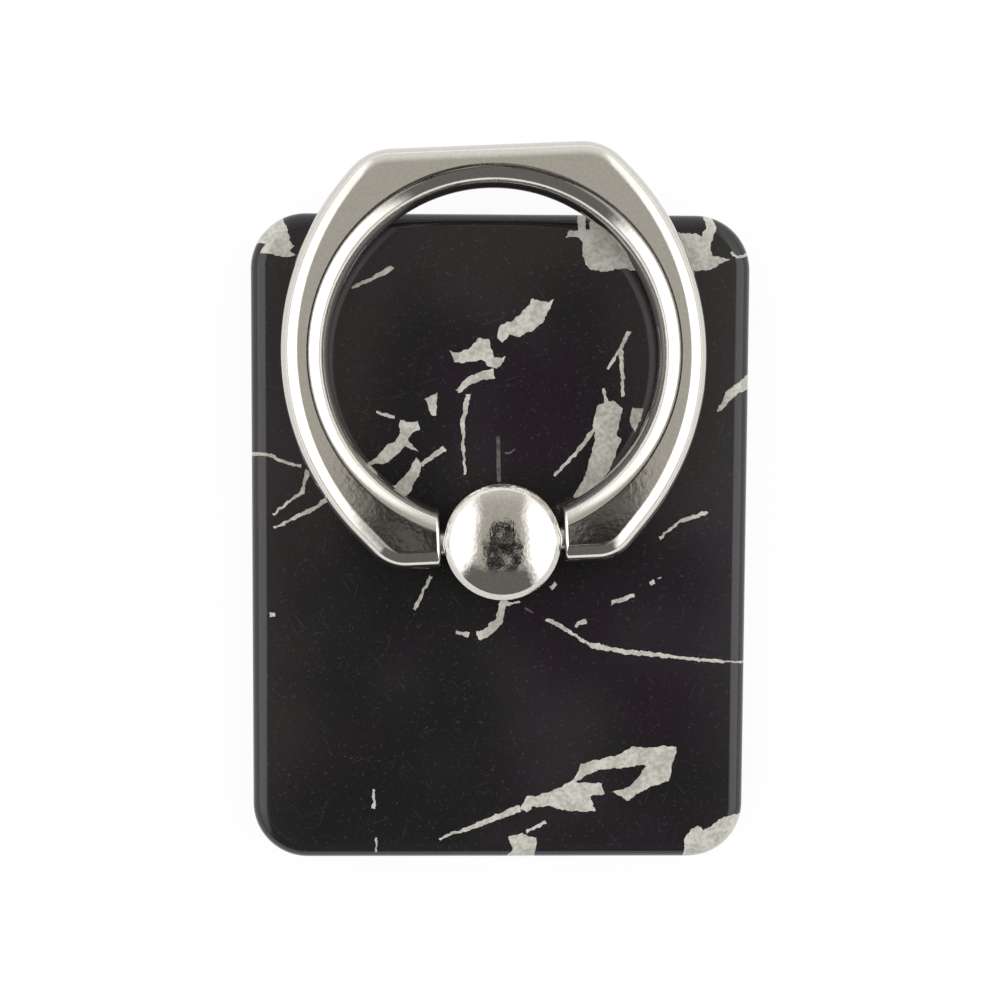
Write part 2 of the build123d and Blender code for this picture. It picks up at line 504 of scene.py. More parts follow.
class MeshDraft:
    """A mesh in the making: shared points in millimetres, and faces with a normal at each corner.

    Attributes:
        digits: how many decimals points have in common to be one.
    """

    digits = 4

    def __init__(self) -> None:
        """Starts an empty draft."""
        self.points: list[Vector] = []
        self.numbers: dict[tuple[float, ...], int] = {}
        self.faces: list[list[int]] = []
        self.normals: list[Vector] = []
        self.finishes: list[int] = []

    def add(self, corners: Sequence[Vector], normals: Sequence[Vector], finish: int = 0) -> None:
        """Adds a face, unless its corners fall together.

        Args:
            corners: the face's corners, anticlockwise from outside.
            normals: the surface's normal at each corner, or one for a flat face.
            finish: the number of the face's material.
        """
        numbers: list[int] = []
        kept: list[Vector] = []
        shared = list(normals) * len(corners) if len(normals) == 1 else list(normals)
        for corner, normal in zip(corners, shared):
            key = tuple(round(value, self.digits) + 0.0 for value in corner)
            number = self.numbers.setdefault(key, len(self.points))
            if number == len(self.points):
                self.points.append(Vector(corner))
            if number not in numbers:
                numbers.append(number)
                kept.append(normal)
        if len(numbers) > 2:
            self.faces.append(numbers)
            self.normals.extend(kept)
            self.finishes.append(finish)

    def add_wall(self, lower: Loop, upper: Loop, finish: int = 0) -> None:
        """Adds a closed wall between two loops of points with the surface's normals.

        Args:
            lower, upper: the loops, point for point, running to the right as seen from outside.
            finish: the number of the wall's material.
        """
        for i in range(len(lower)):
            j = (i + 1) % len(lower)
            corners = [lower[i], lower[j], upper[j], upper[i]]
            self.add([point for point, _ in corners], [normal for _, normal in corners], finish)

    def finish(self, name: str, materials: Sequence[bpy.types.Material], place: Matrix) -> bpy.types.Object:
        """Makes the object.

        Args:
            name: the piece's name.
            materials: the materials that the faces' finishes number.
            place: turns and moves the draft into the frame, in millimetres.

        Returns:
            The object, at the origin, in metres.
        """
        mesh = bpy.data.meshes.new(name)
        mesh.from_pydata([place @ point * MM for point in self.points], [], self.faces)
        for material in materials:
            mesh.materials.append(material)
        mesh.polygons.foreach_set("material_index", self.finishes)
        mesh.polygons.foreach_set("use_smooth", [True] * len(self.faces))
        turn = place.to_3x3()
        mesh.normals_split_custom_set([(turn @ normal).normalized() for normal in self.normals])
        mesh.update()
        piece = bpy.data.objects.new(name, mesh)
        bpy.context.scene.collection.objects.link(piece)
        return piece


def circle(radius: float, steps: int) -> list[Vector]:
    """Points of a circle about the origin, anticlockwise.

    Args:
        radius: its radius.
        steps: how many points.

    Returns:
        The points.
    """
    angles = [math.tau * step / steps for step in range(steps)]
    return [Vector((radius * math.cos(angle), radius * math.sin(angle))) for angle in angles]


def raised(loop: Sequence[Vector], height: float, normals: Sequence[Vector]) -> Loop:
    """Lifts a flat loop to a height.

    Args:
        loop: the loop's points in plan.
        height: the height.
        normals: the surface's normal at each point.

    Returns:
        The lifted points with their normals.
    """
    return [(point.to_3d() + UP * height, normal) for point, normal in zip(loop, normals)]


def fill(outer: Sequence[Vector], hole: Sequence[Vector]) -> list[tuple[Vector, Vector, Vector]]:
    """Fills a flat loop, round a hole where there is one.

    Args:
        outer: the outer loop, anticlockwise.
        hole: the loop of the hole, or nothing.

    Returns:
        Triangles, anticlockwise.
    """
    points = [*outer, *hole]
    count = len(outer)
    loops = [list(range(count))] + ([list(range(count, len(points)))] if hole else [])
    found, _, faces, _, _, sources = delaunay_2d_cdt(points, [], loops, 0, FILL_TOLERANCE)
    kept = [face for face, source in zip(faces, sources) if 0 in source and 1 not in source]
    return [tuple(found[i] for i in face) for face in kept]


@dataclass(frozen=True)
class RoundedRectangle:
    """A rounded rectangle about the Z axis.

    Attributes:
        width, length: its sizes along X and Y.
        corner: its corner radius.
    """

    width: float
    length: float
    corner: float
    corner_steps: int = 24

    def depth(self, point: Vector) -> tuple[float, Vector]:
        """How far a point lies inside the outline, and which way is out.

        Args:
            point: the point, of which X and Y count.

        Returns:
            The distance to the outline and the outward direction there.
        """
        side = [math.copysign(1, point.x), math.copysign(1, point.y)]
        across = abs(point.x) - self.width / 2 + self.corner
        along = abs(point.y) - self.length / 2 + self.corner
        if across > 0 and along > 0:
            reach = math.hypot(across, along)
            return self.corner - reach, Vector((side[0] * across, side[1] * along, 0)) / reach
        if across > along:
            return self.corner - across, Vector((side[0], 0, 0))
        return self.corner - along, Vector((0, side[1], 0))

    def loop(self, inset: float) -> list[Vector]:
        """The outline moved inwards.

        Args:
            inset: how far.

        Returns:
            Its points, anticlockwise from the right side's lower end.
        """
        radius = self.corner - inset
        points = []
        for quarter, (right, up) in enumerate(((1, 1), (-1, 1), (-1, -1), (1, -1))):
            middle_x = right * (self.width / 2 - self.corner)
            middle_y = up * (self.length / 2 - self.corner)
            for step in range(self.corner_steps + 1):
                angle = math.radians(90 * (quarter + step / self.corner_steps))
                away = Vector((math.cos(angle), math.sin(angle)))
                points.append(Vector((middle_x, middle_y)) + radius * away)
        return points


@dataclass(frozen=True)
class PhotoCamera:
    """The camera at the photograph's viewpoint.

    Attributes:
        picture: the photograph's width and height, in pixels.
        focal: its focal length, in pixels.
        axis: where its optical axis meets the picture, in pixels.
        turns: the turns about X, Y and Z from the frame to the camera, in degrees.
        origin: the frame's origin as the camera sees it.
        sensor: the width of the camera's sensor.
        clip: the nearest and farthest that it sees, in metres.
    """

    picture: float = 1000.0
    focal: float = 1400.0
    axis: Pixel = (455.0, 560.0)
    turns: tuple[float, float, float] = (3.345, 0.987, -0.128)
    origin: tuple[float, float, float] = (3.108, 1.62, -101.86)
    sensor: float = 36.0
    clip: Span = (0.005, 20.0)

    def place(self) -> Matrix:
        """The camera's place in the frame, in millimetres."""
        turn = Euler([math.radians(angle) for angle in self.turns], "XYZ").to_matrix().to_4x4()
        return (Matrix.Translation(self.origin) @ turn).inverted()

    def on_plane(self, pixel: Pixel, height: float) -> Vector:
        """The point of a level plane that a pixel shows.

        Args:
            pixel: the pixel, from the picture's upper left.
            height: the plane's Z.

        Returns:
            The point's X and Y.
        """
        place = self.place()
        ray = place.to_3x3() @ Vector((pixel[0] - self.axis[0], self.axis[1] - pixel[1], -self.focal))
        eye = place.translation
        point = eye + ray * ((height - eye.z) / ray.z)
        return point.to_2d()

    def build(self) -> None:
        """Makes the scene's camera."""
        data = bpy.data.cameras.new("photo_camera")
        data.sensor_width = self.sensor
        data.lens = self.focal / self.picture * self.sensor
        data.shift_x = 0.5 - self.axis[0] / self.picture
        data.shift_y = self.axis[1] / self.picture - 0.5
        data.clip_start, data.clip_end = self.clip
        camera = bpy.data.objects.new("photo_camera", data)
        place = self.place()
        place.translation *= MM
        camera.matrix_world = place
        bpy.context.scene.collection.objects.link(camera)
        bpy.context.scene.camera = camera


@dataclass(frozen=True)
class GreyPatch:
    """A grey field of the marble print.

    Attributes:
        name: where it lies.
        corners: the corners of its outline in the photograph, in pixels.
        ink: how strongly it is printed.
    """

    name: str
    corners: tuple[Pixel, ...]
    ink: Ink = Ink.GREY

    def outline(self, camera: PhotoCamera, height: float) -> list[Vector]:
        """Its outline on the plate.

        Args:
            camera: the photograph's camera.
            height: the plate's front.

        Returns:
            The outline's points.
        """
        return [camera.on_plane(corner, height) for corner in self.corners]


@dataclass(frozen=True)
class GreyVein:
    """A thin grey vein of the marble print.

    Attributes:
        name: where it lies.
        line: the points that it follows in the photograph, in pixels.
        widths: its widths at its two ends.
        ink: how strongly it is printed.
    """

    name: str
    line: tuple[Pixel, ...]
    widths: tuple[float, float]
    ink: Ink = Ink.GREY

    def outline(self, camera: PhotoCamera, height: float) -> list[Vector]:
        """Its outline on the plate.

        Args:
            camera: the photograph's camera.
            height: the plate's front.

        Returns:
            The points of its one side, then those of its other side backwards.
        """
        line = [camera.on_plane(pixel, height) for pixel in self.line]
        left: list[Vector] = []
        right: list[Vector] = []
        for i, point in enumerate(line):
            ahead = line[min(i + 1, len(line) - 1)] - line[max(i - 1, 0)]
            side = Vector((-ahead.y, ahead.x)).normalized()
            share = i / (len(line) - 1)
            half = ((1 - share) * self.widths[0] + share * self.widths[1]) / 2
            left.append(point + side * half)
            right.append(point - side * half)
        return left + right[::-1]


MARBLE: tuple[GreyPatch | GreyVein, ...] = (
    GreyPatch(
        "upper left corner",
        ((255, 242), (266, 243), (260, 253), (266, 253), (273, 255), (281, 257), (289, 256), (296, 256),
         (291, 251), (294, 246), (289, 241), (290, 236), (287, 228), (280, 212), (262, 212)),
    ),
    GreyVein("upper left stroke", ((353, 288), (366, 281), (380, 275), (393, 267)), (0.2, 0.34)),
    GreyPatch(
        "upper middle",
        ((497, 339), (500, 325), (513, 321), (517, 316), (527, 307), (532, 298), (541, 301), (548, 303),
         (554, 300), (545, 317), (543, 323), (531, 331), (520, 337), (509, 334), (502, 343)),
    ),
    GreyPatch(
        "below upper middle",
        ((449, 351), (458, 353), (472, 346), (478, 338), (490, 340), (494, 357), (506, 357), (497, 369),
         (488, 366), (482, 360), (464, 363), (455, 362)),
    ),
    GreyVein("curved band", ((457, 392), (470, 380), (494, 373)), (0.3, 0.75)),
    GreyPatch("left wedge", ((425, 399), (437, 392), (436, 416), (432, 415))),
    GreyVein("hanging vein", ((468, 394), (463, 425), (463, 450), (465, 475)), (0.32, 0.16)),
    GreyVein("line above the hub", ((498, 436), (499, 482)), (0.26, 0.28), Ink.FAINT),
    GreyVein("arc above the hub", ((505, 453), (510, 453), (515, 449)), (0.14, 0.1), Ink.FAINT),
    GreyVein("dot right of the hub", ((551, 588), (556, 583)), (0.26, 0.26)),
    GreyVein("ticks right of the hub", ((525, 608), (533, 613)), (0.14, 0.16), Ink.FAINT),
    GreyPatch(
        "left inner",
        ((363, 466), (376, 458), (388, 444), (396, 442), (399, 433), (400, 420), (413, 423), (419, 421),
         (420, 430), (412, 433), (408, 440), (418, 452), (406, 446), (388, 463)),
    ),
    GreyPatch(
        "left inner lower",
        ((387, 491), (397, 484), (408, 472), (416, 457), (420, 462), (421, 470), (414, 484), (405, 500),
         (400, 500)),
    ),
    GreyVein("left inner tail", ((421, 465), (432, 457), (445, 448)), (0.3, 0.4)),
    GreyVein("left inner dash", ((376, 412), (394, 417)), (0.16, 0.2)),
    GreyVein("left edge upper", ((246, 453), (270, 455), (283, 462), (301, 466)), (0.22, 0.2)),
    GreyVein("left edge middle", ((308, 470), (302, 492), (273, 514)), (0.26, 0.16)),
    GreyVein("left edge lower", ((330, 497), (315, 508), (274, 528)), (0.4, 0.18)),
    GreyVein("right inner twig", ((629, 331), (621, 348), (608, 369)), (0.3, 0.18)),
    GreyVein("right inner stalk", ((621, 350), (623, 397)), (0.3, 0.22)),
    GreyVein("right inner shoot", ((604, 388), (606, 405)), (0.22, 0.3)),
    GreyPatch(
        "right inner",
        ((614, 401), (623, 409), (617, 435), (621, 439), (612, 464), (604, 480), (589, 502), (573, 497),
         (585, 476), (592, 453), (596, 430), (592, 426), (598, 405)),
    ),
    GreyVein("right inner branch", ((595, 429), (577, 452), (554, 476)), (0.3, 0.16)),
    GreyPatch("right inner fleck", ((632, 407), (643, 409), (641, 420), (634, 432), (630, 424))),
    GreyPatch("right edge wedge", ((717, 412), (726, 392), (752, 372), (752, 387), (734, 396), (722, 411))),
    GreyVein("right of the arm", ((660, 538), (679, 522), (707, 512)), (0.18, 0.3)),
    GreyPatch(
        "upper right",
        ((565, 237), (570, 230), (578, 231), (578, 208), (585, 208), (586, 230), (590, 229), (590, 208),
         (612, 208), (645, 228), (681, 233), (695, 233), (702, 236), (706, 228), (705, 208), (712, 214),
         (717, 228), (712, 240), (710, 249), (713, 256), (731, 259), (719, 265), (711, 270), (700, 270),
         (668, 274), (631, 270), (620, 268), (603, 272), (591, 270), (585, 264), (582, 253), (583, 242),
         (579, 237)),
    ),
    GreyVein("upper right edge", ((731, 252), (737, 258), (752, 252)), (0.2, 0.3)),
    GreyVein("lower left dot", ((270, 615), (275, 615)), (0.3, 0.3)),
    GreyVein("left of the hub", ((431, 576), (414, 610)), (0.26, 0.2)),
    GreyVein("below the hub", ((504, 600), (499, 620), (487, 633), (477, 636)), (0.55, 0.62)),
    GreyVein("branch below the hub", ((502, 605), (520, 601)), (0.3, 0.16)),
    GreyVein("dash below the hub", ((455, 632), (469, 635)), (0.3, 0.34)),
    GreyVein("long vein, near part", ((547, 619), (570, 632), (592, 646)), (0.3, 0.16)),
    GreyVein("long vein", ((590, 645), (625, 652), (660, 655), (700, 660), (750, 663)), (0.36, 0.16)),
    GreyVein("right lower mark", ((611, 603), (622, 600), (634, 595)), (0.34, 0.26)),
    GreyVein("right lower near dot", ((650, 584), (654, 582)), (0.22, 0.26)),
    GreyVein("right lower far dot", ((658, 579), (661, 577)), (0.2, 0.18)),
    GreyVein("right lower hook", ((575, 628), (578, 623), (587, 621)), (0.22, 0.24)),
    GreyPatch(
        "lower right",
        ((677, 748), (671, 746), (642, 748), (634, 746), (621, 754), (581, 764), (579, 771), (571, 781),
         (560, 788), (535, 796), (527, 796), (520, 808), (527, 813), (533, 806), (550, 807), (568, 811),
         (596, 811), (590, 796), (604, 794), (602, 783), (575, 782), (600, 769), (621, 768), (648, 764),
         (642, 773), (629, 787), (613, 792), (627, 800), (648, 788), (669, 781), (673, 762)),
    ),
    GreyVein("lower right tail", ((520, 808), (480, 824), (439, 839)), (0.5, 0.12)),
    GreyVein("lower right line", ((526, 832), (546, 822)), (0.22, 0.2)),
    GreyPatch("bottom", ((508, 836), (522, 834), (537, 838), (534, 862), (506, 862), (512, 848))),
    GreyPatch(
        "lower right corner",
        ((683, 862), (684, 846), (686, 835), (697, 826), (703, 830), (712, 826), (720, 818), (735, 815),
         (760, 812), (750, 862)),
    ),
    GreyVein("bottom left dash", ((374, 789), (374, 809)), (0.22, 0.26)),
    GreyVein("bottom left mark", ((376, 838), (376, 853)), (0.16, 0.16)),
)


@dataclass(frozen=True)
class MarblePrint:
    """The marble print's grey fields and veins, laid on the plate with torn edges.

    Attributes:
        step: length of the pieces that an edge is broken into.
        tear: how far an edge strays.
        tear_size: how long a stray is.
        nick: how far its smaller nicks go.
        nick_size: how long a nick is.
        faint_tear: the share of all this that a faint mark gets.
        seed: picks one run of tears, the same each time.
    """

    step: float = 0.13
    tear: float = 0.11
    tear_size: float = 0.5
    nick: float = 0.09
    nick_size: float = 0.19
    faint_tear: float = 0.2
    seed: int = 11

    def torn(self, outline: Sequence[Vector], share: float) -> list[Vector]:
        """Breaks an outline into short pieces that stray from it.

        Args:
            outline: the outline's corners.
            share: how much of the tear and the nicks it gets.

        Returns:
            The torn outline, anticlockwise.
        """
        points: list[Vector] = []
        for start, end in zip(outline, [*outline[1:], outline[0]]):
            count = max(1, round((end - start).length / self.step))
            points.extend(start.lerp(end, i / count) for i in range(count))
        area = sum(a.x * b.y - b.x * a.y for a, b in zip(points, [*points[1:], points[0]]))
        if area < 0:
            points.reverse()
        torn = []
        for point in points:
            tear = noise.noise_vector(point.to_3d() / self.tear_size).to_2d() * self.tear
            nick = noise.noise_vector(point.to_3d() / self.nick_size).to_2d() * self.nick
            torn.append(point + (tear + nick) * share)
        return torn

    def outlines(self, camera: PhotoCamera, height: float) -> list[tuple[Ink, list[Vector]]]:
        """All the outlines on the plate.

        Args:
            camera: the photograph's camera.
            height: the plate's front.

        Returns:
            The ink and one loop of points for each field or vein, anticlockwise.
        """
        noise.seed_set(self.seed)
        loops = []
        for mark in MARBLE:
            share = self.faint_tear if mark.ink is Ink.FAINT else 1.0
            loops.append((mark.ink, self.torn(mark.outline(camera, height), share)))
        return loops


@dataclass(frozen=True)
class PrintedPlate:
    """The back plate: a printed front with a rounded edge, and a plain back with a seat for the pad.

    Attributes:
        outline: the plate's outline.
        back_z, front_z: the heights of its two faces.
        seat_rim, seat_depth: the rim round the pad's seat, and how deep the seat lies.
        counterbore_radius, web_back_z: the hollow round the screw, and the height of its floor.
        bore_radius: the hole that the hub's stem turns in.
        cut_tolerance: how close points of the print have to lie to become one.
    """

    outline: RoundedRectangle
    back_z: float
    front_z: float
    front_round: float = 1.2
    back_chamfer: float = 0.3
    seat_rim: float = 1.3
    seat_depth: float = 0.4
    counterbore_radius: float = 4.4
    web_back_z: float = 2.6
    bore_radius: float = 2.05
    round_rows: int = 10
    bore_steps: int = 64
    cut_tolerance: float = 1e-5

    def front_point(self, point: Vector, on_edge: bool) -> tuple[Vector, Vector]:
        """Lifts a point of the print to the front's rounded surface.

        Args:
            point: the point in plan.
            on_edge: whether it lies on the outline.

        Returns:
            The point and the surface's normal.
        """
        depth, out = self.outline.depth(point)
        if on_edge:
            depth = 0.0
        lean = max(0.0, 1 - depth / self.front_round)
        rise = math.sqrt(max(0.0, 1 - lean * lean))
        height = self.front_z - self.front_round * (1 - rise)
        return Vector((point.x, point.y, height)), out * lean + UP * rise

    def print_front(
        self, draft: MeshDraft, marks: Sequence[tuple[Ink, Sequence[Vector]]]
    ) -> list[list[Vector]]:
        """Adds the printed front and the walls below it.

        Args:
            draft: the mesh in the making.
            marks: the inks and loops of the marble's marks.

        Returns:
            The plate's outline and the bore's edge as they were cut, in plan, anticlockwise.
        """
        rows = [
            self.outline.loop(self.front_round * (1 - math.cos(math.pi / 2 * row / self.round_rows)))
            for row in range(self.round_rows + 1)
        ]
        bore = circle(self.bore_radius, self.bore_steps)
        loops = [rows[0], bore, *[loop for _, loop in marks], *rows[1:]]
        points: list[Vector] = []
        faces: list[list[int]] = []
        for loop in loops:
            faces.append(list(range(len(points), len(points) + len(loop))))
            points.extend(loop)
        inks = {2 + number: ink.value for number, (ink, _) in enumerate(marks)}
        found, _, pieces, _, _, sources = delaunay_2d_cdt(points, [], faces, 0, self.cut_tolerance)
        kept: list[tuple[list[int], int]] = []
        for piece, source in zip(pieces, sources):
            if 0 in source and 1 not in source:
                printed = [inks[number] for number in source if number in inks]
                kept.append((piece, min(printed, default=Ink.GROUND.value)))
        edges = {(piece[i], piece[(i + 1) % 3]): finish for piece, finish in kept for i in range(3)}
        border = {edge: finish for edge, finish in edges.items() if edge[::-1] not in edges}
        middle_reach = (self.bore_radius + self.counterbore_radius) / 2
        on_edge = {a for a, _ in border if found[a].length > middle_reach}
        lifted = {i: self.front_point(found[i], i in on_edge) for piece, _ in kept for i in piece}
        for piece, finish in kept:
            draft.add([lifted[i][0] for i in piece], [lifted[i][1] for i in piece], finish)
        self.add_printed_walls(draft, border, found, on_edge)
        return self.chained(border, found)

    def add_printed_walls(
        self,
        draft: MeshDraft,
        border: dict[tuple[int, int], int],
        found: Sequence[Vector],
        on_edge: set[int],
    ) -> None:
        """Adds the upright walls, which carry the print over the edge.

        Args:
            draft: the mesh in the making.
            border: the front's border edges with their finishes.
            found: the front's points in plan.
            on_edge: the points that lie on the plate's outline.
        """
        top = self.front_z - self.front_round
        bottom = self.back_z + self.back_chamfer
        for (a, b), finish in border.items():
            if a in on_edge:
                ends = [found[a], found[b]]
                outs = [self.outline.depth(end)[1] for end in ends]
                corners = [
                    ends[0].to_3d() + UP * top,
                    ends[0].to_3d() + UP * bottom,
                    ends[1].to_3d() + UP * bottom,
                    ends[1].to_3d() + UP * top,
                ]
                draft.add(corners, [outs[0], outs[0], outs[1], outs[1]], finish)

    @staticmethod
    def chained(border: dict[tuple[int, int], int], found: Sequence[Vector]) -> list[list[Vector]]:
        """Chains border edges to loops.

        Args:
            border: the edges, from point to point.
            found: the points.

        Returns:
            The loops, the longest first, each anticlockwise.
        """
        ahead = dict(border.keys())
        loops = []
        while ahead:
            start, point = ahead.popitem()
            loop = [start]
            while point != start:
                loop.append(point)
                point = ahead.pop(point)
            loops.append([found[i] for i in loop])
        loops.sort(key=lambda loop: max(point.length for point in loop), reverse=True)
        return [loops[0], *[loop[::-1] for loop in loops[1:]]]

    def back(self, draft: MeshDraft, edge: Sequence[Vector], bore: Sequence[Vector], finish: int) -> None:
        """Adds the unprinted back: chamfer, rim, seat, counterbore and bore.

        Args:
            draft: the mesh in the making.
            edge: the plate's outline.
            bore: the bore's edge.
            finish: the number of the back's material.
        """
        seat_z = self.back_z + self.seat_depth
        outs = [self.outline.depth(point)[1] for point in edge]
        lip = [point - out.to_2d() * self.back_chamfer for point, out in zip(edge, outs)]
        seat = self.outline.loop(self.seat_rim)
        counterbore = circle(self.counterbore_radius, self.bore_steps)

        slope = [(out - UP).normalized() for out in outs]
        chamfer_z = self.back_z + self.back_chamfer
        draft.add_wall(raised(lip, self.back_z, slope), raised(edge, chamfer_z, slope), finish)

        for outer, hole, level in (
            (lip, seat, self.back_z),
            (seat, counterbore, seat_z),
            (counterbore, bore, self.web_back_z),
        ):
            for triangle in fill(outer, hole):
                draft.add([corner.to_3d() + UP * level for corner in reversed(triangle)], [-UP], finish)

        for loop, low, high in (
            (seat, self.back_z, seat_z),
            (counterbore, seat_z, self.web_back_z),
            (bore, self.web_back_z, self.front_z),
        ):
            backwards = loop[::-1]
            if loop is seat:
                ins = [-self.outline.depth(point)[1] for point in backwards]
            else:
                ins = [-point.normalized().to_3d() for point in backwards]
            draft.add_wall(raised(backwards, low, ins), raised(backwards, high, ins), finish)

    def build(self, camera: PhotoCamera) -> bpy.types.Object:
        """Makes the plate's mesh and dresses it.

        Args:
            camera: the photograph's camera, which places the print.

        Returns:
            The piece.
        """
        draft = MeshDraft()
        marks = MarblePrint().outlines(camera, self.front_z)
        edge, bore = self.print_front(draft, marks)
        self.back(draft, edge, bore, Ink.BACK.value)
        finishes = (GlossBlackPrint(), GREY_VEIN, FAINT_VEIN, MouldedPlastic())
        materials = [finish.make() for finish in finishes]
        return draft.finish("printed_back_plate", materials, Matrix.Identity(4))


@dataclass(frozen=True)
class FoamPad:
    """The die-cut foam pad, whose cut edges bulge a little between its two faces."""

    outline: RoundedRectangle
    thickness: float
    edge_round: float = 0.14
    rows: int = 6

    def build(self) -> bpy.types.Object:
        """Makes the pad's mesh and dresses it."""
        draft = MeshDraft()
        levels: list[Loop] = []
        for end in (-1, 1):
            for row in range(self.rows + 1):
                share = row / self.rows if end < 0 else 1 - row / self.rows
                angle = math.pi / 2 * (1 - share)
                middle = self.edge_round if end < 0 else self.thickness - self.edge_round
                height = middle + end * self.edge_round * math.sin(angle)
                loop = self.outline.loop(self.edge_round * (1 - math.cos(angle)))
                outs = [self.outline.depth(point)[1] for point in loop]
                normals = [out * math.cos(angle) + UP * end * math.sin(angle) for out in outs]
                levels.append(raised(loop, height, normals))
        for lower, upper in zip(levels, levels[1:]):
            draft.add_wall(lower, upper)
        flat = self.outline.loop(self.edge_round)
        for triangle in fill(flat, []):
            draft.add([corner.to_3d() + UP * self.thickness for corner in triangle], [UP])
            draft.add([corner.to_3d() for corner in reversed(triangle)], [-UP])
        return draft.finish("foam_pad", [FoamTape().make()], Matrix.Identity(4))


@dataclass(frozen=True)
class RingStation:
    """A station along the ring: a point of its outer outline and the way out there."""

    point: Vector
    out: Vector


@dataclass(frozen=True)
class FingerRing:
    """The finger ring: one casting, crowned inside and rounded outside, with a pin socket in each arm.

    Attributes:
        hinge_z, turn: the hinge's height, and the ring's turn at rest.
        side_wall, far_wall: its widths beside the finger hole and at the far end.
        arc_centre_offset: how far past the middle the centre of each bulging side lies.
        far_chamfer_angle, arm_chamfer_angle: where those sides run out into flats, in degrees.
        outer_round, inner_crown, end_round: how far its edges are rounded.
        arm_above, arm_below, arm_end_x: how far the arms reach past the hinge, and where they end.
        spacing, corner_step: the longest run and the widest bend, in degrees, between two sections.
    """

    hinge_z: float
    turn: float
    hole_radius: float = 11.25
    thickness: float = 3.1
    side_wall: float = 3.22
    far_wall: float = 2.8
    arc_centre_offset: float = 3.63
    far_chamfer_angle: float = 47.0
    arm_chamfer_angle: float = 48.6
    far_corner_radius: float = 3.8
    arm_corner_radius: float = 3.0
    outer_round: float = 1.3
    inner_crown: float = 1.4
    end_round: float = 0.28
    arm_above: float = 2.24
    arm_below: float = 1.62
    arm_end_x: float = 4.2
    socket_radius: float = 0.83
    socket_depth: float = 1.25
    spacing: float = 0.4
    corner_step: float = 6.0
    round_rows: int = 14
    crown_rows: int = 20
    end_rows: int = 5
    socket_steps: int = 40

    @property
    def hole_middle(self) -> Vector:
        """The middle of the finger hole, from the hinge."""
        return Vector((0, self.arm_above + math.sqrt(self.hole_radius**2 - self.arm_end_x**2)))

    def outline(self) -> list[RingStation]:
        """Walks round the right half of the outline, from the arm's end to the middle of the far flat.

        Returns:
            The stations on the way.
        """
        middle = self.hole_middle
        arc_radius = self.hole_radius + self.side_wall + self.arc_centre_offset
        far_y = middle.y + self.hole_radius + self.far_wall
        arc_middle = Vector((-self.arc_centre_offset, middle.y))
        arm, far = math.radians(self.arm_chamfer_angle), math.radians(self.far_chamfer_angle)
        arm_tangent = arc_middle + arc_radius * Vector((math.sin(arm), -math.cos(arm)))
        far_tangent = arc_middle + arc_radius * Vector((math.sin(far), math.cos(far)))
        arm_run = (arm_tangent.y + self.arm_below) / math.sin(arm)
        far_run = (far_y - far_tangent.y) / math.sin(far)
        arm_corner_x = arm_tangent.x - arm_run * math.cos(arm)
        far_corner_x = far_tangent.x - far_run * math.cos(far)
        arm_trim = self.arm_corner_radius * math.tan(arm / 2)
        far_trim = self.far_corner_radius * math.tan(far / 2)
        start_x = self.arm_end_x + self.end_round
        walk = (
            (arm_corner_x - arm_trim - start_x, 0.0),
            (self.arm_corner_radius, arm),
            (arm_run - arm_trim, 0.0),
            (arc_radius, math.pi - arm - far),
            (far_run - far_trim, 0.0),
            (self.far_corner_radius, far),
            (far_corner_x - far_trim, 0.0),
        )
        point, heading = Vector((start_x, -self.arm_below)), 0.0
        stations = [RingStation(point.copy(), Vector((0, -1)))]
        for size, turn in walk:
            run = size * turn if turn else size
            steps = max(math.ceil(run / self.spacing), math.ceil(math.degrees(turn) / self.corner_step))
            for _ in range(steps):
                half_turn = turn / steps / 2
                chord = 2 * size * math.sin(half_turn) if turn else run / steps
                heading += half_turn
                point = point + chord * Vector((math.cos(heading), math.sin(heading)))
                heading += half_turn
                stations.append(RingStation(point.copy(), Vector((math.sin(heading), -math.cos(heading)))))
        return stations

    def section(self, station: RingStation, share: float, end_x: float) -> list[tuple[Vector, Vector]]:
        """The ring's section at a station: the crowned inside, then the rounded outside.

        Args:
            station: the station on the right half.
            share: its share of the way from the far end to the arm's end, by angle about the hole.
            end_x: where the inside ends beside the hub.

        Returns:
            Points and normals, from the lower inside edge round by the top.
        """
        half = self.thickness / 2
        middle = self.hole_middle
        rows: list[tuple[Vector, Vector]] = []
        for row in range(self.crown_rows + 1):
            rise = math.pi * (row / self.crown_rows - 0.5)
            reach = self.hole_radius + self.inner_crown * (1 - math.cos(rise))
            angle = share * (math.pi - math.asin(end_x / reach))
            away = Vector((math.sin(angle), math.cos(angle), 0))
            point = middle.to_3d() + away * reach + UP * half * math.sin(rise)
            normal = UP * math.sin(rise) / half - away * math.cos(rise) / self.inner_crown
            rows.append((point, normal.normalized()))
        out = station.out.to_3d()
        for row in range(2 * self.round_rows + 1):
            rise = math.pi / 2 * (1 - row / self.round_rows)
            level = math.copysign(half - self.outer_round, rise) if row != self.round_rows else 0.0
            inward = self.outer_round * (1 - math.cos(rise))
            height = level + self.outer_round * math.sin(rise)
            point = station.point.to_3d() - out * inward + UP * height
            rows.append((point, out * math.cos(rise) + UP * math.sin(rise)))
        return rows

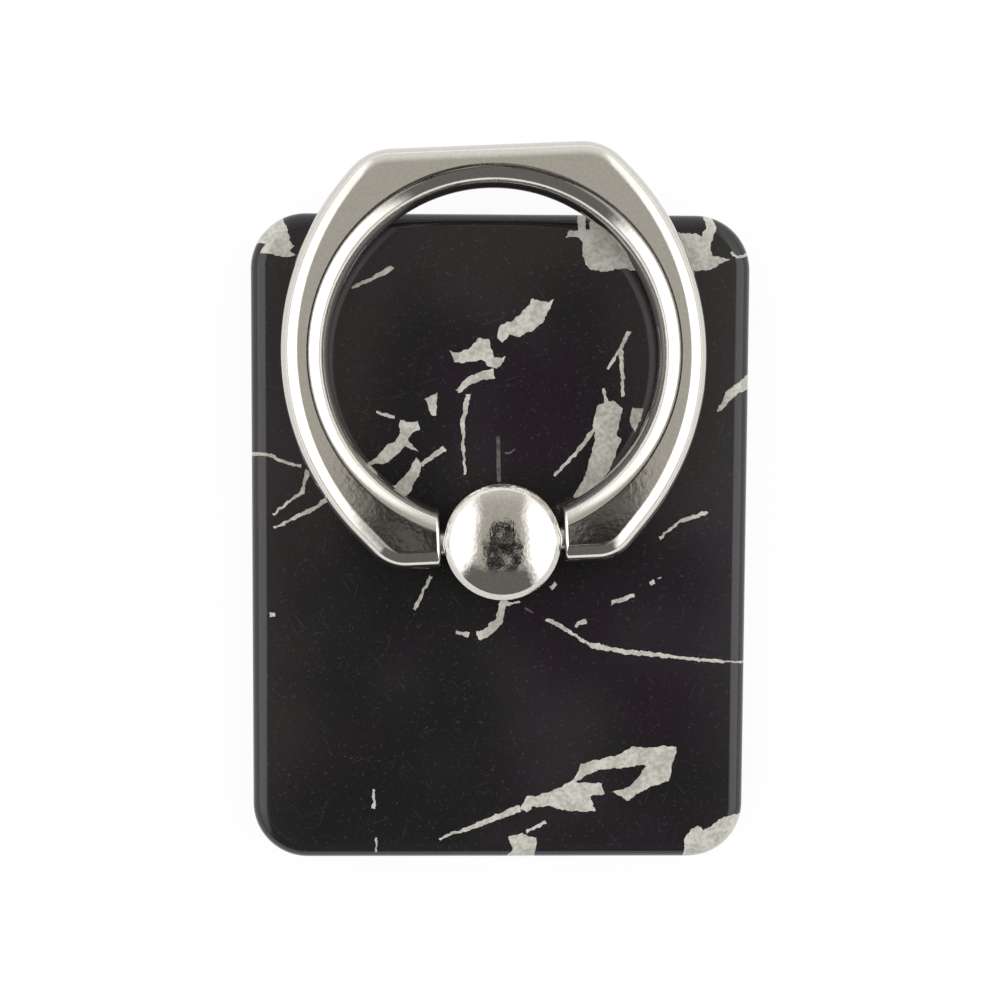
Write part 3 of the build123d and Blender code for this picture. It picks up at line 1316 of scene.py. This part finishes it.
    def sections(self) -> list[list[tuple[Vector, Vector]]]:
        """All sections of the right half, from the flat of the arm's end to the middle of the far end.

        Returns:
            The sections, point for point.
        """
        stations = self.outline()
        middle = self.hole_middle
        angles = [math.atan2(s.point.x, s.point.y - middle.y) for s in stations]
        start_x = self.arm_end_x + self.end_round
        body = [self.section(s, a / angles[0], start_x) for s, a in zip(stations, angles)]
        ends = []
        for row in range(self.end_rows):
            lean = math.pi / 2 * (1 - row / self.end_rows)
            reach = self.arm_end_x + self.end_round * (1 - math.sin(lean))
            inset = self.end_round * (1 - math.cos(lean))
            rounded = []
            for point, normal in body[0]:
                level = Vector((0, normal.y, normal.z)).normalized()
                moved = Vector((reach, point.y, point.z)) - level * inset
                rounded.append((moved, level * math.cos(lean) - Vector((math.sin(lean), 0, 0))))
            ends.append(rounded)
        return ends + body

    def arm_end(self, draft: MeshDraft, rim: Sequence[Vector], side: int) -> None:
        """Adds the flat end of an arm and its pin socket.

        Args:
            draft: the mesh in the making.
            rim: the flat's edge on the right arm.
            side: 1 for the right arm, -1 for the left one.
        """
        flat = [Vector((point.y, point.z)) for point in rim]
        socket = circle(self.socket_radius, self.socket_steps)
        area = sum(a.x * b.y - b.x * a.y for a, b in zip(flat, [*flat[1:], flat[0]]))
        if area < 0:
            flat.reverse()
        face_x, floor_x = side * self.arm_end_x, side * (self.arm_end_x + self.socket_depth)
        facing = Vector((-side, 0, 0))
        for outer, hole, depth in ((flat, socket, face_x), (socket, [], floor_x)):
            for triangle in fill(outer, hole):
                corners = [Vector((depth, corner.x, corner.y)) for corner in triangle]
                draft.add(corners[::-side], [facing])
        ins = [Vector((0, -point.x, -point.y)).normalized() for point in socket]
        floor, face = (
            [(Vector((x, point.x, point.y)), normal) for point, normal in zip(socket, ins)]
            for x in (floor_x, face_x)
        )
        draft.add_wall(*(floor, face)[::side])

    def build(self) -> bpy.types.Object:
        """Makes the ring's mesh and dresses it."""
        draft = MeshDraft()
        sections = self.sections()
        for side in (1, -1):
            flip = Vector((side, 1, 1))
            half = [[(point * flip, normal * flip) for point, normal in rows] for rows in sections]
            for near, far in zip(half, half[1:]):
                draft.add_wall(*(near, far)[::side])
            self.arm_end(draft, [point for point, _ in sections[0]], side)
        place = Matrix.Translation((0, 0, self.hinge_z)) @ Matrix.Rotation(self.turn, 4, "Z")
        return draft.finish("finger_ring", [RING_CHROME.make()], place)


@dataclass(frozen=True)
class DomedHub:
    """The domed hub, turned in one with its stem, with a blunt boss on each side.

    Attributes:
        hinge_z, turn: the hinge's height, and the hub's turn at rest.
        base_z, stem_end_z: the heights of its base and of its stem's end.
        dome_flat: how strongly the dome is curved in its middle, as a share of an even dome's curve.
        bevel, bevel_round: the bevel round the dome, and the rounding of its edges.
        boss_reach: how far a boss stands out of the round.
        boss_nose: how blunt its nose is, as an angle about the hub.
        boss_fade: the width over which the dome runs out into it.
        boss_low: the heights from the hinge between which it comes out of the wall.
        weld: how close points have to lie to become one.
        sharp_angle: the bend from which an edge stays sharp.
    """

    hinge_z: float
    turn: float
    base_z: float
    stem_end_z: float
    radius: float = 3.95
    dome_radius: float = 13.0
    dome_flat: float = 0.58
    top_above_hinge: float = 2.25
    bevel: float = 0.42
    bevel_round: float = 0.09
    base_chamfer: float = 0.2
    stem_radius: float = 2.0
    boss_reach: float = 0.13
    boss_nose: float = math.radians(3)
    boss_fade: float = 0.9
    boss_low: Span = (-2.1, -0.9)
    pin_bore_radius: float = 0.81
    pin_bore_length: float = 11.85
    screw_hole_radius: float = 1.01
    screw_hole_depth: float = 2.45
    weld: float = 0.001
    sharp_angle: float = math.radians(20)
    dome_rows: int = 26
    edge_rows: int = 5
    around: int = 144
    bore_steps: int = 48

    def profile(self) -> list[Vector]:
        """The turned profile, from the middle of the stem's end to the top of the dome.

        Returns:
            Points with the radius in X and the height in Z.
        """
        top = self.hinge_z + self.top_above_hinge
        rim = self.radius - self.bevel
        dome_drop = self.dome_radius - math.sqrt(self.dome_radius**2 - rim**2)
        middle_drop = self.dome_flat * rim**2 / (2 * self.dome_radius)
        outer_drop = dome_drop - middle_drop
        rim_lean = math.atan((2 * middle_drop + 4 * outer_drop) / rim)
        rim_z = top - dome_drop
        bevel_lean = math.pi / 4
        points = [
            (0, self.stem_end_z),
            (self.stem_radius, self.stem_end_z),
            (self.stem_radius, self.base_z),
            (self.radius - self.base_chamfer, self.base_z),
            (self.radius, self.base_z + self.base_chamfer),
        ]
        edges = (
            (self.radius, rim_z - self.bevel, math.pi / 2, bevel_lean),
            (rim, rim_z, bevel_lean, rim_lean),
        )
        for edge_x, edge_z, steep, flat in edges:
            half_bend = (steep - flat) / 2
            away = self.bevel_round / math.cos(half_bend)
            middle_lean = (steep + flat) / 2
            middle_x = edge_x - away * math.sin(middle_lean)
            middle_z = edge_z - away * math.cos(middle_lean)
            for row in range(self.edge_rows + 1):
                lean = steep + (flat - steep) * row / self.edge_rows
                reach = middle_x + self.bevel_round * math.sin(lean)
                points.append((reach, middle_z + self.bevel_round * math.cos(lean)))
        last_reach = points[-1][0]
        for row in range(1, self.dome_rows + 1):
            reach = last_reach * (1 - row / self.dome_rows)
            out = (reach / rim) ** 2
            points.append((reach, top - middle_drop * out - outer_drop * out**2))
        return [Vector((reach, 0, height)) for reach, height in points]

    def named_inputs(self, tree: bpy.types.NodeTree) -> dict[str, Any]:
        """Gives the hub's tree its inputs and its output.

        Args:
            tree: the tree.

        Returns:
            What each input is to hold, by socket identifier.
        """
        low, full = (self.hinge_z + height for height in self.boss_low)
        sizes: dict[str, Any] = {
            "Steps Around": self.around,
            "Turn": self.turn,
            "Hinge Height": self.hinge_z * MM,
            "Boss Spread": math.acos(self.radius / (self.radius + self.boss_reach)) + self.boss_nose,
            "Boss Nose": self.boss_nose,
            "Boss Full Height": full * MM,
            "Boss Low Height": low * MM,
            "Rim Radius": self.radius * MM,
            "Fade Radius": (self.radius - self.boss_fade) * MM,
            "Bore Steps": self.bore_steps,
            "Pin Bore Radius": self.pin_bore_radius * MM,
            "Pin Bore Length": self.pin_bore_length * MM,
            "Screw Hole Radius": self.screw_hole_radius * MM,
            "Screw Cut Length": 2 * (self.stem_end_z + self.screw_hole_depth) * MM,
            "Weld Distance": self.weld * MM,
            "Sharp Angle": self.sharp_angle,
            "Finish": CHROME.make(),
        }
        tree.interface.new_socket("Profile", in_out="INPUT", socket_type="NodeSocketGeometry")
        tree.interface.new_socket("Hub", in_out="OUTPUT", socket_type="NodeSocketGeometry")
        kinds = {int: "NodeSocketInt", float: "NodeSocketFloat"}
        values: dict[str, Any] = {}
        for name, value in sizes.items():
            kind = kinds.get(type(value), "NodeSocketMaterial")
            socket = tree.interface.new_socket(name, in_out="INPUT", socket_type=kind)
            values[socket.identifier] = value
        return values

    @staticmethod
    def turned(
        tree: bpy.types.NodeTree, given: bpy.types.NodeOutputs
    ) -> tuple[bpy.types.Node, ...]:
        """Lays a sheet for the turned profile, with a column to each step and a row to each point.

        Args:
            tree: the hub's tree.
            given: the tree's inputs.

        Returns:
            The flat sheet, the profile's point for each of its points, and that point turned to its place.
        """
        rows = add_node(
            tree, "GeometryNodeAttributeDomainSize", {"Geometry": given["Profile"]}, component="MESH"
        )
        columns = add_node(tree, MATH, {0: given["Steps Around"], 1: 1.0}, operation="ADD")
        sheet = add_node(tree, "GeometryNodeMeshGrid", {"Vertices X": columns, "Vertices Y": rows})
        index = add_node(tree, "GeometryNodeInputIndex")
        row = add_node(tree, MATH, {0: index, 1: rows}, operation="MODULO")
        along = add_node(tree, MATH, {0: index, 1: row}, operation="SUBTRACT")
        column = add_node(tree, MATH, {0: along, 1: rows}, operation="DIVIDE")
        spun = add_node(tree, MATH, {0: column, 1: given["Steps Around"]}, operation="DIVIDE")
        angle = add_node(tree, MATH, {0: spun, 1: math.tau}, operation="MULTIPLY")
        position = add_node(tree, "GeometryNodeInputPosition")
        outline = add_node(
            tree,
            "GeometryNodeSampleIndex",
            {"Geometry": given["Profile"], "Value": position, "Index": row},
            data_type="FLOAT_VECTOR",
        )
        turning = {"Vector": outline, "Angle": angle}
        around = add_node(tree, "ShaderNodeVectorRotate", turning, rotation_type="Z_AXIS")
        return sheet, outline, around

    @staticmethod
    def bossed(
        tree: bpy.types.NodeTree,
        given: bpy.types.NodeOutputs,
        outline: bpy.types.Node,
        around: bpy.types.Node,
    ) -> bpy.types.Node:
        """Draws the turned places out into a blunt boss on each side.

        Args:
            tree: the hub's tree.
            given: the tree's inputs.
            outline: the profile's points.
            around: those points turned to their places.

        Returns:
            The places with the bosses.
        """
        reach = add_node(tree, "ShaderNodeSeparateXYZ", {"Vector": outline}).outputs["X"]
        place = add_node(tree, "ShaderNodeSeparateXYZ", {"Vector": around}).outputs
        ahead, beside = (add_node(tree, MATH, {0: place[axis]}, operation="ABSOLUTE") for axis in "XY")
        off_axis = add_node(tree, MATH, {0: beside, 1: ahead}, operation="ARCTAN2")
        blunt = add_node(tree, MATH, {0: given["Boss Nose"], 1: given["Boss Nose"]}, operation="MULTIPLY")
        spread = add_node(tree, MATH, {0: off_axis, 1: off_axis, 2: blunt}, operation="MULTIPLY_ADD")
        lean = add_node(tree, MATH, {0: spread}, operation="SQRT")
        left_over = add_node(tree, MATH, {0: given["Boss Spread"], 1: lean}, operation="SUBTRACT")
        flank = add_node(tree, MATH, {0: left_over, 1: 0.0}, operation="MAXIMUM")
        cosine = add_node(tree, MATH, {0: flank}, operation="COSINE")
        grow = add_node(tree, MATH, {0: 1.0, 1: cosine}, operation="DIVIDE")
        for where, start, full in (
            (reach, "Fade Radius", "Rim Radius"),
            (place["Z"], "Boss Low Height", "Boss Full Height"),
        ):
            levels = {"From Min": given[start], "From Max": given[full], "To Min": 1.0, "To Max": grow}
            grow = add_node(tree, RANGE, {"Value": where, **levels}, **SMOOTH)
        widen = add_node(tree, "ShaderNodeCombineXYZ", {"X": grow, "Y": grow, "Z": 1.0})
        return add_node(tree, "ShaderNodeVectorMath", {0: around, 1: widen}, operation="MULTIPLY")

    @staticmethod
    def bored(
        tree: bpy.types.NodeTree, given: bpy.types.NodeOutputs, body: bpy.types.Node
    ) -> bpy.types.Node:
        """Bores the pin's cross hole and the screw's hole.

        Args:
            tree: the hub's tree.
            given: the tree's inputs.
            body: the turned body.

        Returns:
            The bored body.
        """
        pin_bore, screw_cut = (
            add_node(
                tree,
                "GeometryNodeMeshCylinder",
                {"Vertices": given["Bore Steps"], "Radius": given[radius], "Depth": given[length]},
            )
            for radius, length in (
                ("Pin Bore Radius", "Pin Bore Length"),
                ("Screw Hole Radius", "Screw Cut Length"),
            )
        )
        hinge = add_node(tree, "ShaderNodeCombineXYZ", {"Z": given["Hinge Height"]})
        crosswise = {"Geometry": pin_bore, "Translation": hinge, "Rotation": (0, math.pi / 2, 0)}
        pin_cut = add_node(tree, "GeometryNodeTransform", crosswise)
        return add_node(
            tree,
            "GeometryNodeMeshBoolean",
            {"Mesh 1": body, "Mesh 2": [pin_cut, screw_cut]},
            operation="DIFFERENCE",
            solver="EXACT",
        )

    def lathe(self) -> tuple[bpy.types.NodeTree, dict[str, Any]]:
        """Builds the tree that turns the profile, draws out the bosses and bores the holes.

        Returns:
            The tree, and what each of its named inputs is to hold.
        """
        tree = bpy.data.node_groups.new("turned_hub", "GeometryNodeTree")
        values = self.named_inputs(tree)
        given = add_node(tree, "NodeGroupInput").outputs
        sheet, outline, around = self.turned(tree, given)
        places = self.bossed(tree, given, outline, around)
        turned = add_node(tree, "GeometryNodeSetPosition", {"Geometry": sheet, "Position": places})
        welding = {"Geometry": turned, "Distance": given["Weld Distance"]}
        body = add_node(tree, "GeometryNodeMergeByDistance", welding)
        bored = self.bored(tree, given, body)
        facing = add_node(tree, "ShaderNodeCombineXYZ", {"Z": given["Turn"]})
        placed = add_node(tree, "GeometryNodeTransform", {"Geometry": bored, "Rotation": facing})
        smooth = add_node(tree, "GeometryNodeSetShadeSmooth", {"Geometry": placed})
        bend = add_node(tree, "GeometryNodeInputMeshEdgeAngle")
        limit = {0: bend, 1: given["Sharp Angle"]}
        sharp = add_node(tree, "FunctionNodeCompare", limit, operation="GREATER_THAN")
        creases = {"Geometry": smooth, "Selection": sharp, "Shade Smooth": False}
        edged = add_node(tree, "GeometryNodeSetShadeSmooth", creases, domain="EDGE")
        real = add_node(tree, "GeometryNodeRealizeInstances", {"Geometry": edged})
        dressed = add_node(tree, "GeometryNodeSetMaterial", {"Geometry": real, "Material": given["Finish"]})
        add_node(tree, "NodeGroupOutput", {"Hub": dressed})
        return tree, values

    def build(self) -> bpy.types.Object:
        """Makes the hub's mesh from its profile and dresses it."""
        points = self.profile()
        line = bpy.data.meshes.new("hub_profile")
        line.from_pydata([point * MM for point in points], [(i, i + 1) for i in range(len(points) - 1)], [])
        piece = bpy.data.objects.new("domed_hub", line)
        bpy.context.scene.collection.objects.link(piece)
        tree, values = self.lathe()
        return grown(piece, tree, values)


def grown(piece: bpy.types.Object, tree: bpy.types.NodeTree, values: dict[str, Any]) -> bpy.types.Object:
    """Runs a geometry tree on a piece and keeps the result as its plain mesh.

    Args:
        piece: the object that holds what the tree starts from.
        tree: the tree.
        values: what its inputs hold, by socket identifier.

    Returns:
        The piece.
    """
    modifier = piece.modifiers.new(tree.name, "NODES")
    modifier.node_group = tree
    for identifier, value in values.items():
        modifier[identifier] = value
    graph = bpy.context.evaluated_depsgraph_get()
    mesh = bpy.data.meshes.new_from_object(piece.evaluated_get(graph), depsgraph=graph)
    mesh.name = piece.name
    piece.modifiers.clear()
    piece.data = mesh
    return piece


@dataclass(frozen=True)
class SideLight:
    """A wide softbox beside the object, as a bright field of the surroundings with soft edges.

    Lengths are shares of the unit direction, of which X points to the right and Y to the far end.

    Attributes:
        side: 1 for the right, -1 for the left.
        edge: how far aside its inner edge lies.
        near_spread, far_spread: how fast that edge moves aside towards the near and the far end.
        near_start, far_start: how far towards those ends that starts.
    """

    side: int
    edge: float
    near_spread: float
    far_spread: float = 0.25
    near_start: float = 0.127
    far_start: float = 0.2

    def past_edge(
        self, tree: bpy.types.NodeTree, across: bpy.types.NodeSocket, along: bpy.types.NodeSocket
    ) -> bpy.types.Node:
        """How far a direction lies past the softbox's inner edge.

        Args:
            tree: the world's tree.
            across, along: the direction's X and Y.

        Returns:
            The distance, below zero outside.
        """
        bound: Any = self.edge
        for end, start, spread in (
            (-1.0, self.near_start, self.near_spread),
            (1.0, self.far_start, self.far_spread),
        ):
            past = add_node(tree, MATH, {0: along, 1: end, 2: -start}, operation="MULTIPLY_ADD")
            run = add_node(tree, MATH, {0: past, 1: 0.0}, operation="MAXIMUM")
            bound = add_node(tree, MATH, {0: run, 1: spread, 2: bound}, operation="MULTIPLY_ADD")
        aside = add_node(tree, MATH, {0: across, 1: float(self.side)}, operation="MULTIPLY")
        return add_node(tree, MATH, {0: aside, 1: bound}, operation="SUBTRACT")


@dataclass(frozen=True)
class Studio:
    """A white floor between two wide softboxes, in a room that is dark towards the near end.

    Heights and distances are shares of the unit direction.

    Attributes:
        lights: the softboxes.
        peak, core: their brightness, and that of their cores.
        core_reach: where a core starts to fade and ends, away from straight aside.
        edge_reach: where a softbox begins and is full, past its inner edge.
        low_reach: the heights at which it begins and is full.
        room, back_wall: the room towards the far end, and the pale wall into which it runs.
        back_reach: where that wall begins and is full, towards the far end.
        shade: the dark towards the near end.
        gear_dark, gear_light, gear_size: the camera gear overhead, in small dark and light pieces.
        glint_reach: the levels of their pattern at which the light pieces begin and are full.
        gear_near: where the gear ends and the plain dark begins, towards the near end.
        gear_far, gear_side: where the gear gives way to the room, towards the far end and aside.
        gear_middle, gear_ragged: where its middle lies, aside, and how ragged its edges are.
        gear_hump, hump_reach: how far it stands up in the middle, and where that part's flank lies.
        horizon: the brightness of the white sweep round the floor.
        horizon_reach: the heights up to which it is full and at which it ends.
        floor_glow: how white the floor is by itself, for all but the light that it sheds.
    """

    lights: tuple[SideLight, ...] = (SideLight(1, 0.23, 0.45), SideLight(-1, 0.175, 0.8))
    peak: float = 1.6
    core: float = 2.4
    core_reach: Span = (0.2, 0.5)
    edge_reach: Span = (-0.05, 0.15)
    low_reach: Span = (0.12, 0.42)
    room: str = "#c2bfb7"
    back_wall: str = WHITE
    back_reach: Span = (0.3, 0.95)
    shade: str = "#757371"
    gear_dark: str = "#1c1b1b"
    gear_light: str = "#b4b1ab"
    gear_size: float = 0.05
    glint_reach: Span = (0.47, 0.7)
    gear_near: Span = (0.24, 0.36)
    gear_far: Span = (-0.06, -0.01)
    gear_side: Span = (0.13, 0.19)
    gear_middle: float = 0.045
    gear_ragged: float = 0.08
    gear_hump: float = 0.18
    hump_reach: Span = (0.065, 0.115)
    horizon: float = 1.3
    horizon_reach: Span = (0.1, 0.28)
    floor_size: float = 4000.0
    floor_drop: float = 0.02
    floor_glow: float = 0.92
    floor_paper: str = "#f4f4f4"

    def build(self) -> None:
        """Makes the floor and the world with its softboxes."""
        self.floor()
        self.surroundings()
        bpy.context.scene.view_settings.view_transform = "Standard"

    def floor(self) -> None:
        """Makes the white floor, which the camera and the chrome see as plain white."""
        half = self.floor_size / 2 * MM
        mesh = bpy.data.meshes.new("floor")
        sides = ((-1, -1), (1, -1), (1, 1), (-1, 1))
        corners = [(x * half, y * half, -self.floor_drop * MM) for x, y in sides]
        mesh.from_pydata(corners, [], [(0, 1, 2, 3)])
        floor = bpy.data.objects.new("floor", mesh)
        bpy.context.scene.collection.objects.link(floor)
        material = bpy.data.materials.new("white_paper_sweep")
        material.use_nodes = True
        tree = material.node_tree
        tree.nodes.clear()
        path = add_node(tree, "ShaderNodeLightPath").outputs
        seen: Any = path["Is Camera Ray"]
        for ray in ("Is Glossy Ray", "Is Transmission Ray"):
            seen = add_node(tree, MATH, {0: seen, 1: path[ray]}, operation="MAXIMUM")
        share = add_node(tree, MATH, {0: seen, 1: self.floor_glow}, operation="MULTIPLY")
        paper = add_node(tree, "ShaderNodeBsdfDiffuse", {"Color": linear(self.floor_paper)})
        glow = add_node(tree, "ShaderNodeEmission", {"Color": linear(WHITE), "Strength": 1.0})
        mixed = add_node(tree, "ShaderNodeMixShader", {0: share, 1: paper, 2: glow})
        add_node(tree, "ShaderNodeOutputMaterial", {"Surface": mixed})
        mesh.materials.append(material)

    def gear(
        self, tree: bpy.types.NodeTree, way: bpy.types.NodeSocket, part: bpy.types.NodeOutputs
    ) -> tuple[bpy.types.Node, bpy.types.Node]:
        """Lays out the camera gear overhead.

        Args:
            tree: the world's tree.
            way: the direction.
            part: its X, Y and Z.

        Returns:
            The gear's colour, and how far a direction is clear of it, from nought to one.
        """
        pieces = add_node(tree, NOISE, {"Vector": way, "Scale": 1 / self.gear_size, "Detail": 1.0})
        start, full = self.glint_reach
        glint = add_node(tree, RANGE, {"Value": pieces, "From Min": start, "From Max": full}, **SMOOTH)
        colours = {MIX_A: linear(self.gear_dark), MIX_B: linear(self.gear_light)}
        colour = add_node(tree, MIX, {MIX_FACTOR: glint, **colours}, **COLOURS)
        stray = add_node(tree, MATH, {0: pieces, 1: NOISE_MIDDLE}, operation="SUBTRACT")
        off_middle = add_node(tree, MATH, {0: part["X"], 1: self.gear_middle}, operation="SUBTRACT")
        aside = add_node(tree, MATH, {0: off_middle}, operation="ABSOLUTE")
        start, full = self.hump_reach
        flank = {"From Min": start, "From Max": full, "To Min": self.gear_hump, "To Max": 0.0}
        hump = add_node(tree, RANGE, {"Value": aside, **flank}, **SMOOTH)
        along = add_node(tree, MATH, {0: part["Y"], 1: hump}, operation="SUBTRACT")
        ends = []
        for place, (start, full) in ((along, self.gear_far), (aside, self.gear_side)):
            strayed = {0: stray, 1: self.gear_ragged, 2: place}
            ragged = add_node(tree, MATH, strayed, operation="MULTIPLY_ADD")
            ends.append(
                add_node(tree, RANGE, {"Value": ragged, "From Min": start, "From Max": full}, **SMOOTH)
            )
        return colour, add_node(tree, MATH, {0: ends[0], 1: ends[1]}, operation="MAXIMUM")

    def room_round(
        self,
        tree: bpy.types.NodeTree,
        part: bpy.types.NodeOutputs,
        gear: bpy.types.Node,
        clear: bpy.types.Node,
    ) -> bpy.types.Node:
        """Lays the room round the gear: pale towards the far end, dark towards the near end.

        Args:
            tree: the world's tree.
            part: the direction's X, Y and Z.
            gear: the gear's colour.
            clear: how far a direction is clear of it.

        Returns:
            The room's colour.
        """
        start, full = self.back_reach
        back = add_node(tree, RANGE, {"Value": part["Y"], "From Min": start, "From Max": full}, **SMOOTH)
        colours = {MIX_A: linear(self.room), MIX_B: linear(self.back_wall)}
        walls = add_node(tree, MIX, {MIX_FACTOR: back, **colours}, **COLOURS)
        room = add_node(tree, MIX, {MIX_FACTOR: clear, MIX_A: gear, MIX_B: walls}, **COLOURS)
        start, full = self.gear_near
        near = add_node(tree, RANGE, {"Value": part["Y"], "From Min": -start, "From Max": -full}, **SMOOTH)
        return add_node(tree, MIX, {MIX_FACTOR: near, MIX_A: room, MIX_B: linear(self.shade)}, **COLOURS)

    def softboxes(
        self, tree: bpy.types.NodeTree, part: bpy.types.NodeOutputs
    ) -> tuple[bpy.types.Node, bpy.types.Node]:
        """Sets up the softboxes.

        Args:
            tree: the world's tree.
            part: the direction's X, Y and Z.

        Returns:
            How far a direction lies in one of them, from nought to one, and its brightness there.
        """
        past = [light.past_edge(tree, part["X"], part["Y"]) for light in self.lights]
        inside = add_node(tree, MATH, {0: past[0], 1: past[1]}, operation="MAXIMUM")
        start, full = self.edge_reach
        across = add_node(tree, RANGE, {"Value": inside, "From Min": start, "From Max": full}, **SMOOTH)
        start, full = self.low_reach
        upward = add_node(tree, RANGE, {"Value": part["Z"], "From Min": start, "From Max": full}, **SMOOTH)
        share = add_node(tree, MATH, {0: across, 1: upward}, operation="MULTIPLY")
        lengthways = add_node(tree, MATH, {0: part["Y"]}, operation="ABSOLUTE")
        start, full = self.core_reach
        fading = {"From Min": start, "From Max": full, "To Min": self.core, "To Max": self.peak}
        return share, add_node(tree, RANGE, {"Value": lengthways, **fading}, **SMOOTH)

    def surroundings(self) -> None:
        """Makes the world: room, softboxes and a white horizon, and plain white for the camera."""
        world = bpy.data.worlds.new("white_studio")
        bpy.context.scene.world = world
        world.use_nodes = True
        tree = world.node_tree
        tree.nodes.clear()
        way = add_node(tree, "ShaderNodeTexCoord").outputs["Generated"]
        part = add_node(tree, "ShaderNodeSeparateXYZ", {"Vector": way}).outputs
        room = self.room_round(tree, part, *self.gear(tree, way, part))
        share, level = self.softboxes(tree, part)
        lit = add_node(tree, MIX, {MIX_FACTOR: share, MIX_A: room, MIX_B: level}, **COLOURS)
        start, end = self.horizon_reach
        fading = {"From Min": start, "From Max": end, "To Min": self.horizon, "To Max": 0.0}
        low = add_node(tree, RANGE, {"Value": part["Z"], **fading}, **SMOOTH)
        both = {MIX_FACTOR: 1.0, MIX_A: lit, MIX_B: low}
        swept = add_node(tree, MIX, both, **COLOURS, blend_type="LIGHTEN")
        seen = add_node(tree, "ShaderNodeLightPath").outputs["Is Camera Ray"]
        sky = add_node(tree, MIX, {MIX_FACTOR: seen, MIX_A: swept, MIX_B: linear(WHITE)}, **COLOURS)
        background = add_node(tree, "ShaderNodeBackground", {"Color": sky, "Strength": 1.0})
        add_node(tree, "ShaderNodeOutputWorld", {"Surface": background})


@dataclass(frozen=True)
class SteelPieces:
    """The small steel pieces of the swivel and the hinge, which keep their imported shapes."""

    nodes: dict[str, bpy.types.Object]

    def dress(self) -> None:
        """Gives each piece its steel."""
        zinc, spring = ZINC.make(), SPRING_STEEL.make()
        for name in ("hinge_pin", "flat_washer", "screw", "disc_spring"):
            piece = self.nodes[name]
            piece.data.materials.clear()
            piece.data.materials.append(spring if name == "disc_spring" else zinc)
            log.info("%s keeps its packed shape", name)


def settle(piece: bpy.types.Object, node: str, body: Body) -> None:
    """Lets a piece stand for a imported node.

    Args:
        piece: the piece.
        node: the node that it replaces.
        body: the body that it rides on.
    """
    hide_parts(node)
    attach(piece, body.value)
    piece.data.calc_loop_triangles()
    log.info("%s: %d triangles, on %s", piece.name, len(piece.data.loop_triangles), body.value)


def main() -> None:
    """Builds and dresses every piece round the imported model."""
    logging.basicConfig(level=logging.INFO, format="%(name)s: %(message)s")
    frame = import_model()

    flip = next(joint for joint in frame["joints"] if joint["name"] == "ring_flip")
    hinge_z = flip["pos_m"][2] / MM
    turn = math.atan2(flip["axis"][1], flip["axis"][0])
    low, high = (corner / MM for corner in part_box("base_plate"))
    pad_low, pad_high = (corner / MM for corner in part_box("adhesive_pad"))
    hub_low, _ = (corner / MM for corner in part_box("hub"))

    camera = PhotoCamera()
    camera.build()
    Studio().build()

    plate = PrintedPlate(
        outline=RoundedRectangle(high.x - low.x, high.y - low.y, PLATE_CORNER), back_z=low.z, front_z=high.z
    )
    settle(plate.build(camera), "base_plate", Body.BASE)

    pad_size = pad_high - pad_low
    pad_corner = PLATE_CORNER - (high.x - low.x - pad_size.x) / 2
    pad = FoamPad(outline=RoundedRectangle(pad_size.x, pad_size.y, pad_corner), thickness=pad_size.z)
    foam = pad.build()
    settle(foam, "adhesive_pad", Body.BASE)

    ring = FingerRing(hinge_z=hinge_z, turn=turn)
    settle(ring.build(), "ring", Body.RING)

    hub = DomedHub(hinge_z=hinge_z, turn=turn, base_z=high.z + HUB_GAP, stem_end_z=hub_low.z)
    settle(hub.build(), "hub", Body.HUB)

    SteelPieces(frame["nodes"]).dress()


if __name__ == "__main__":
    main()
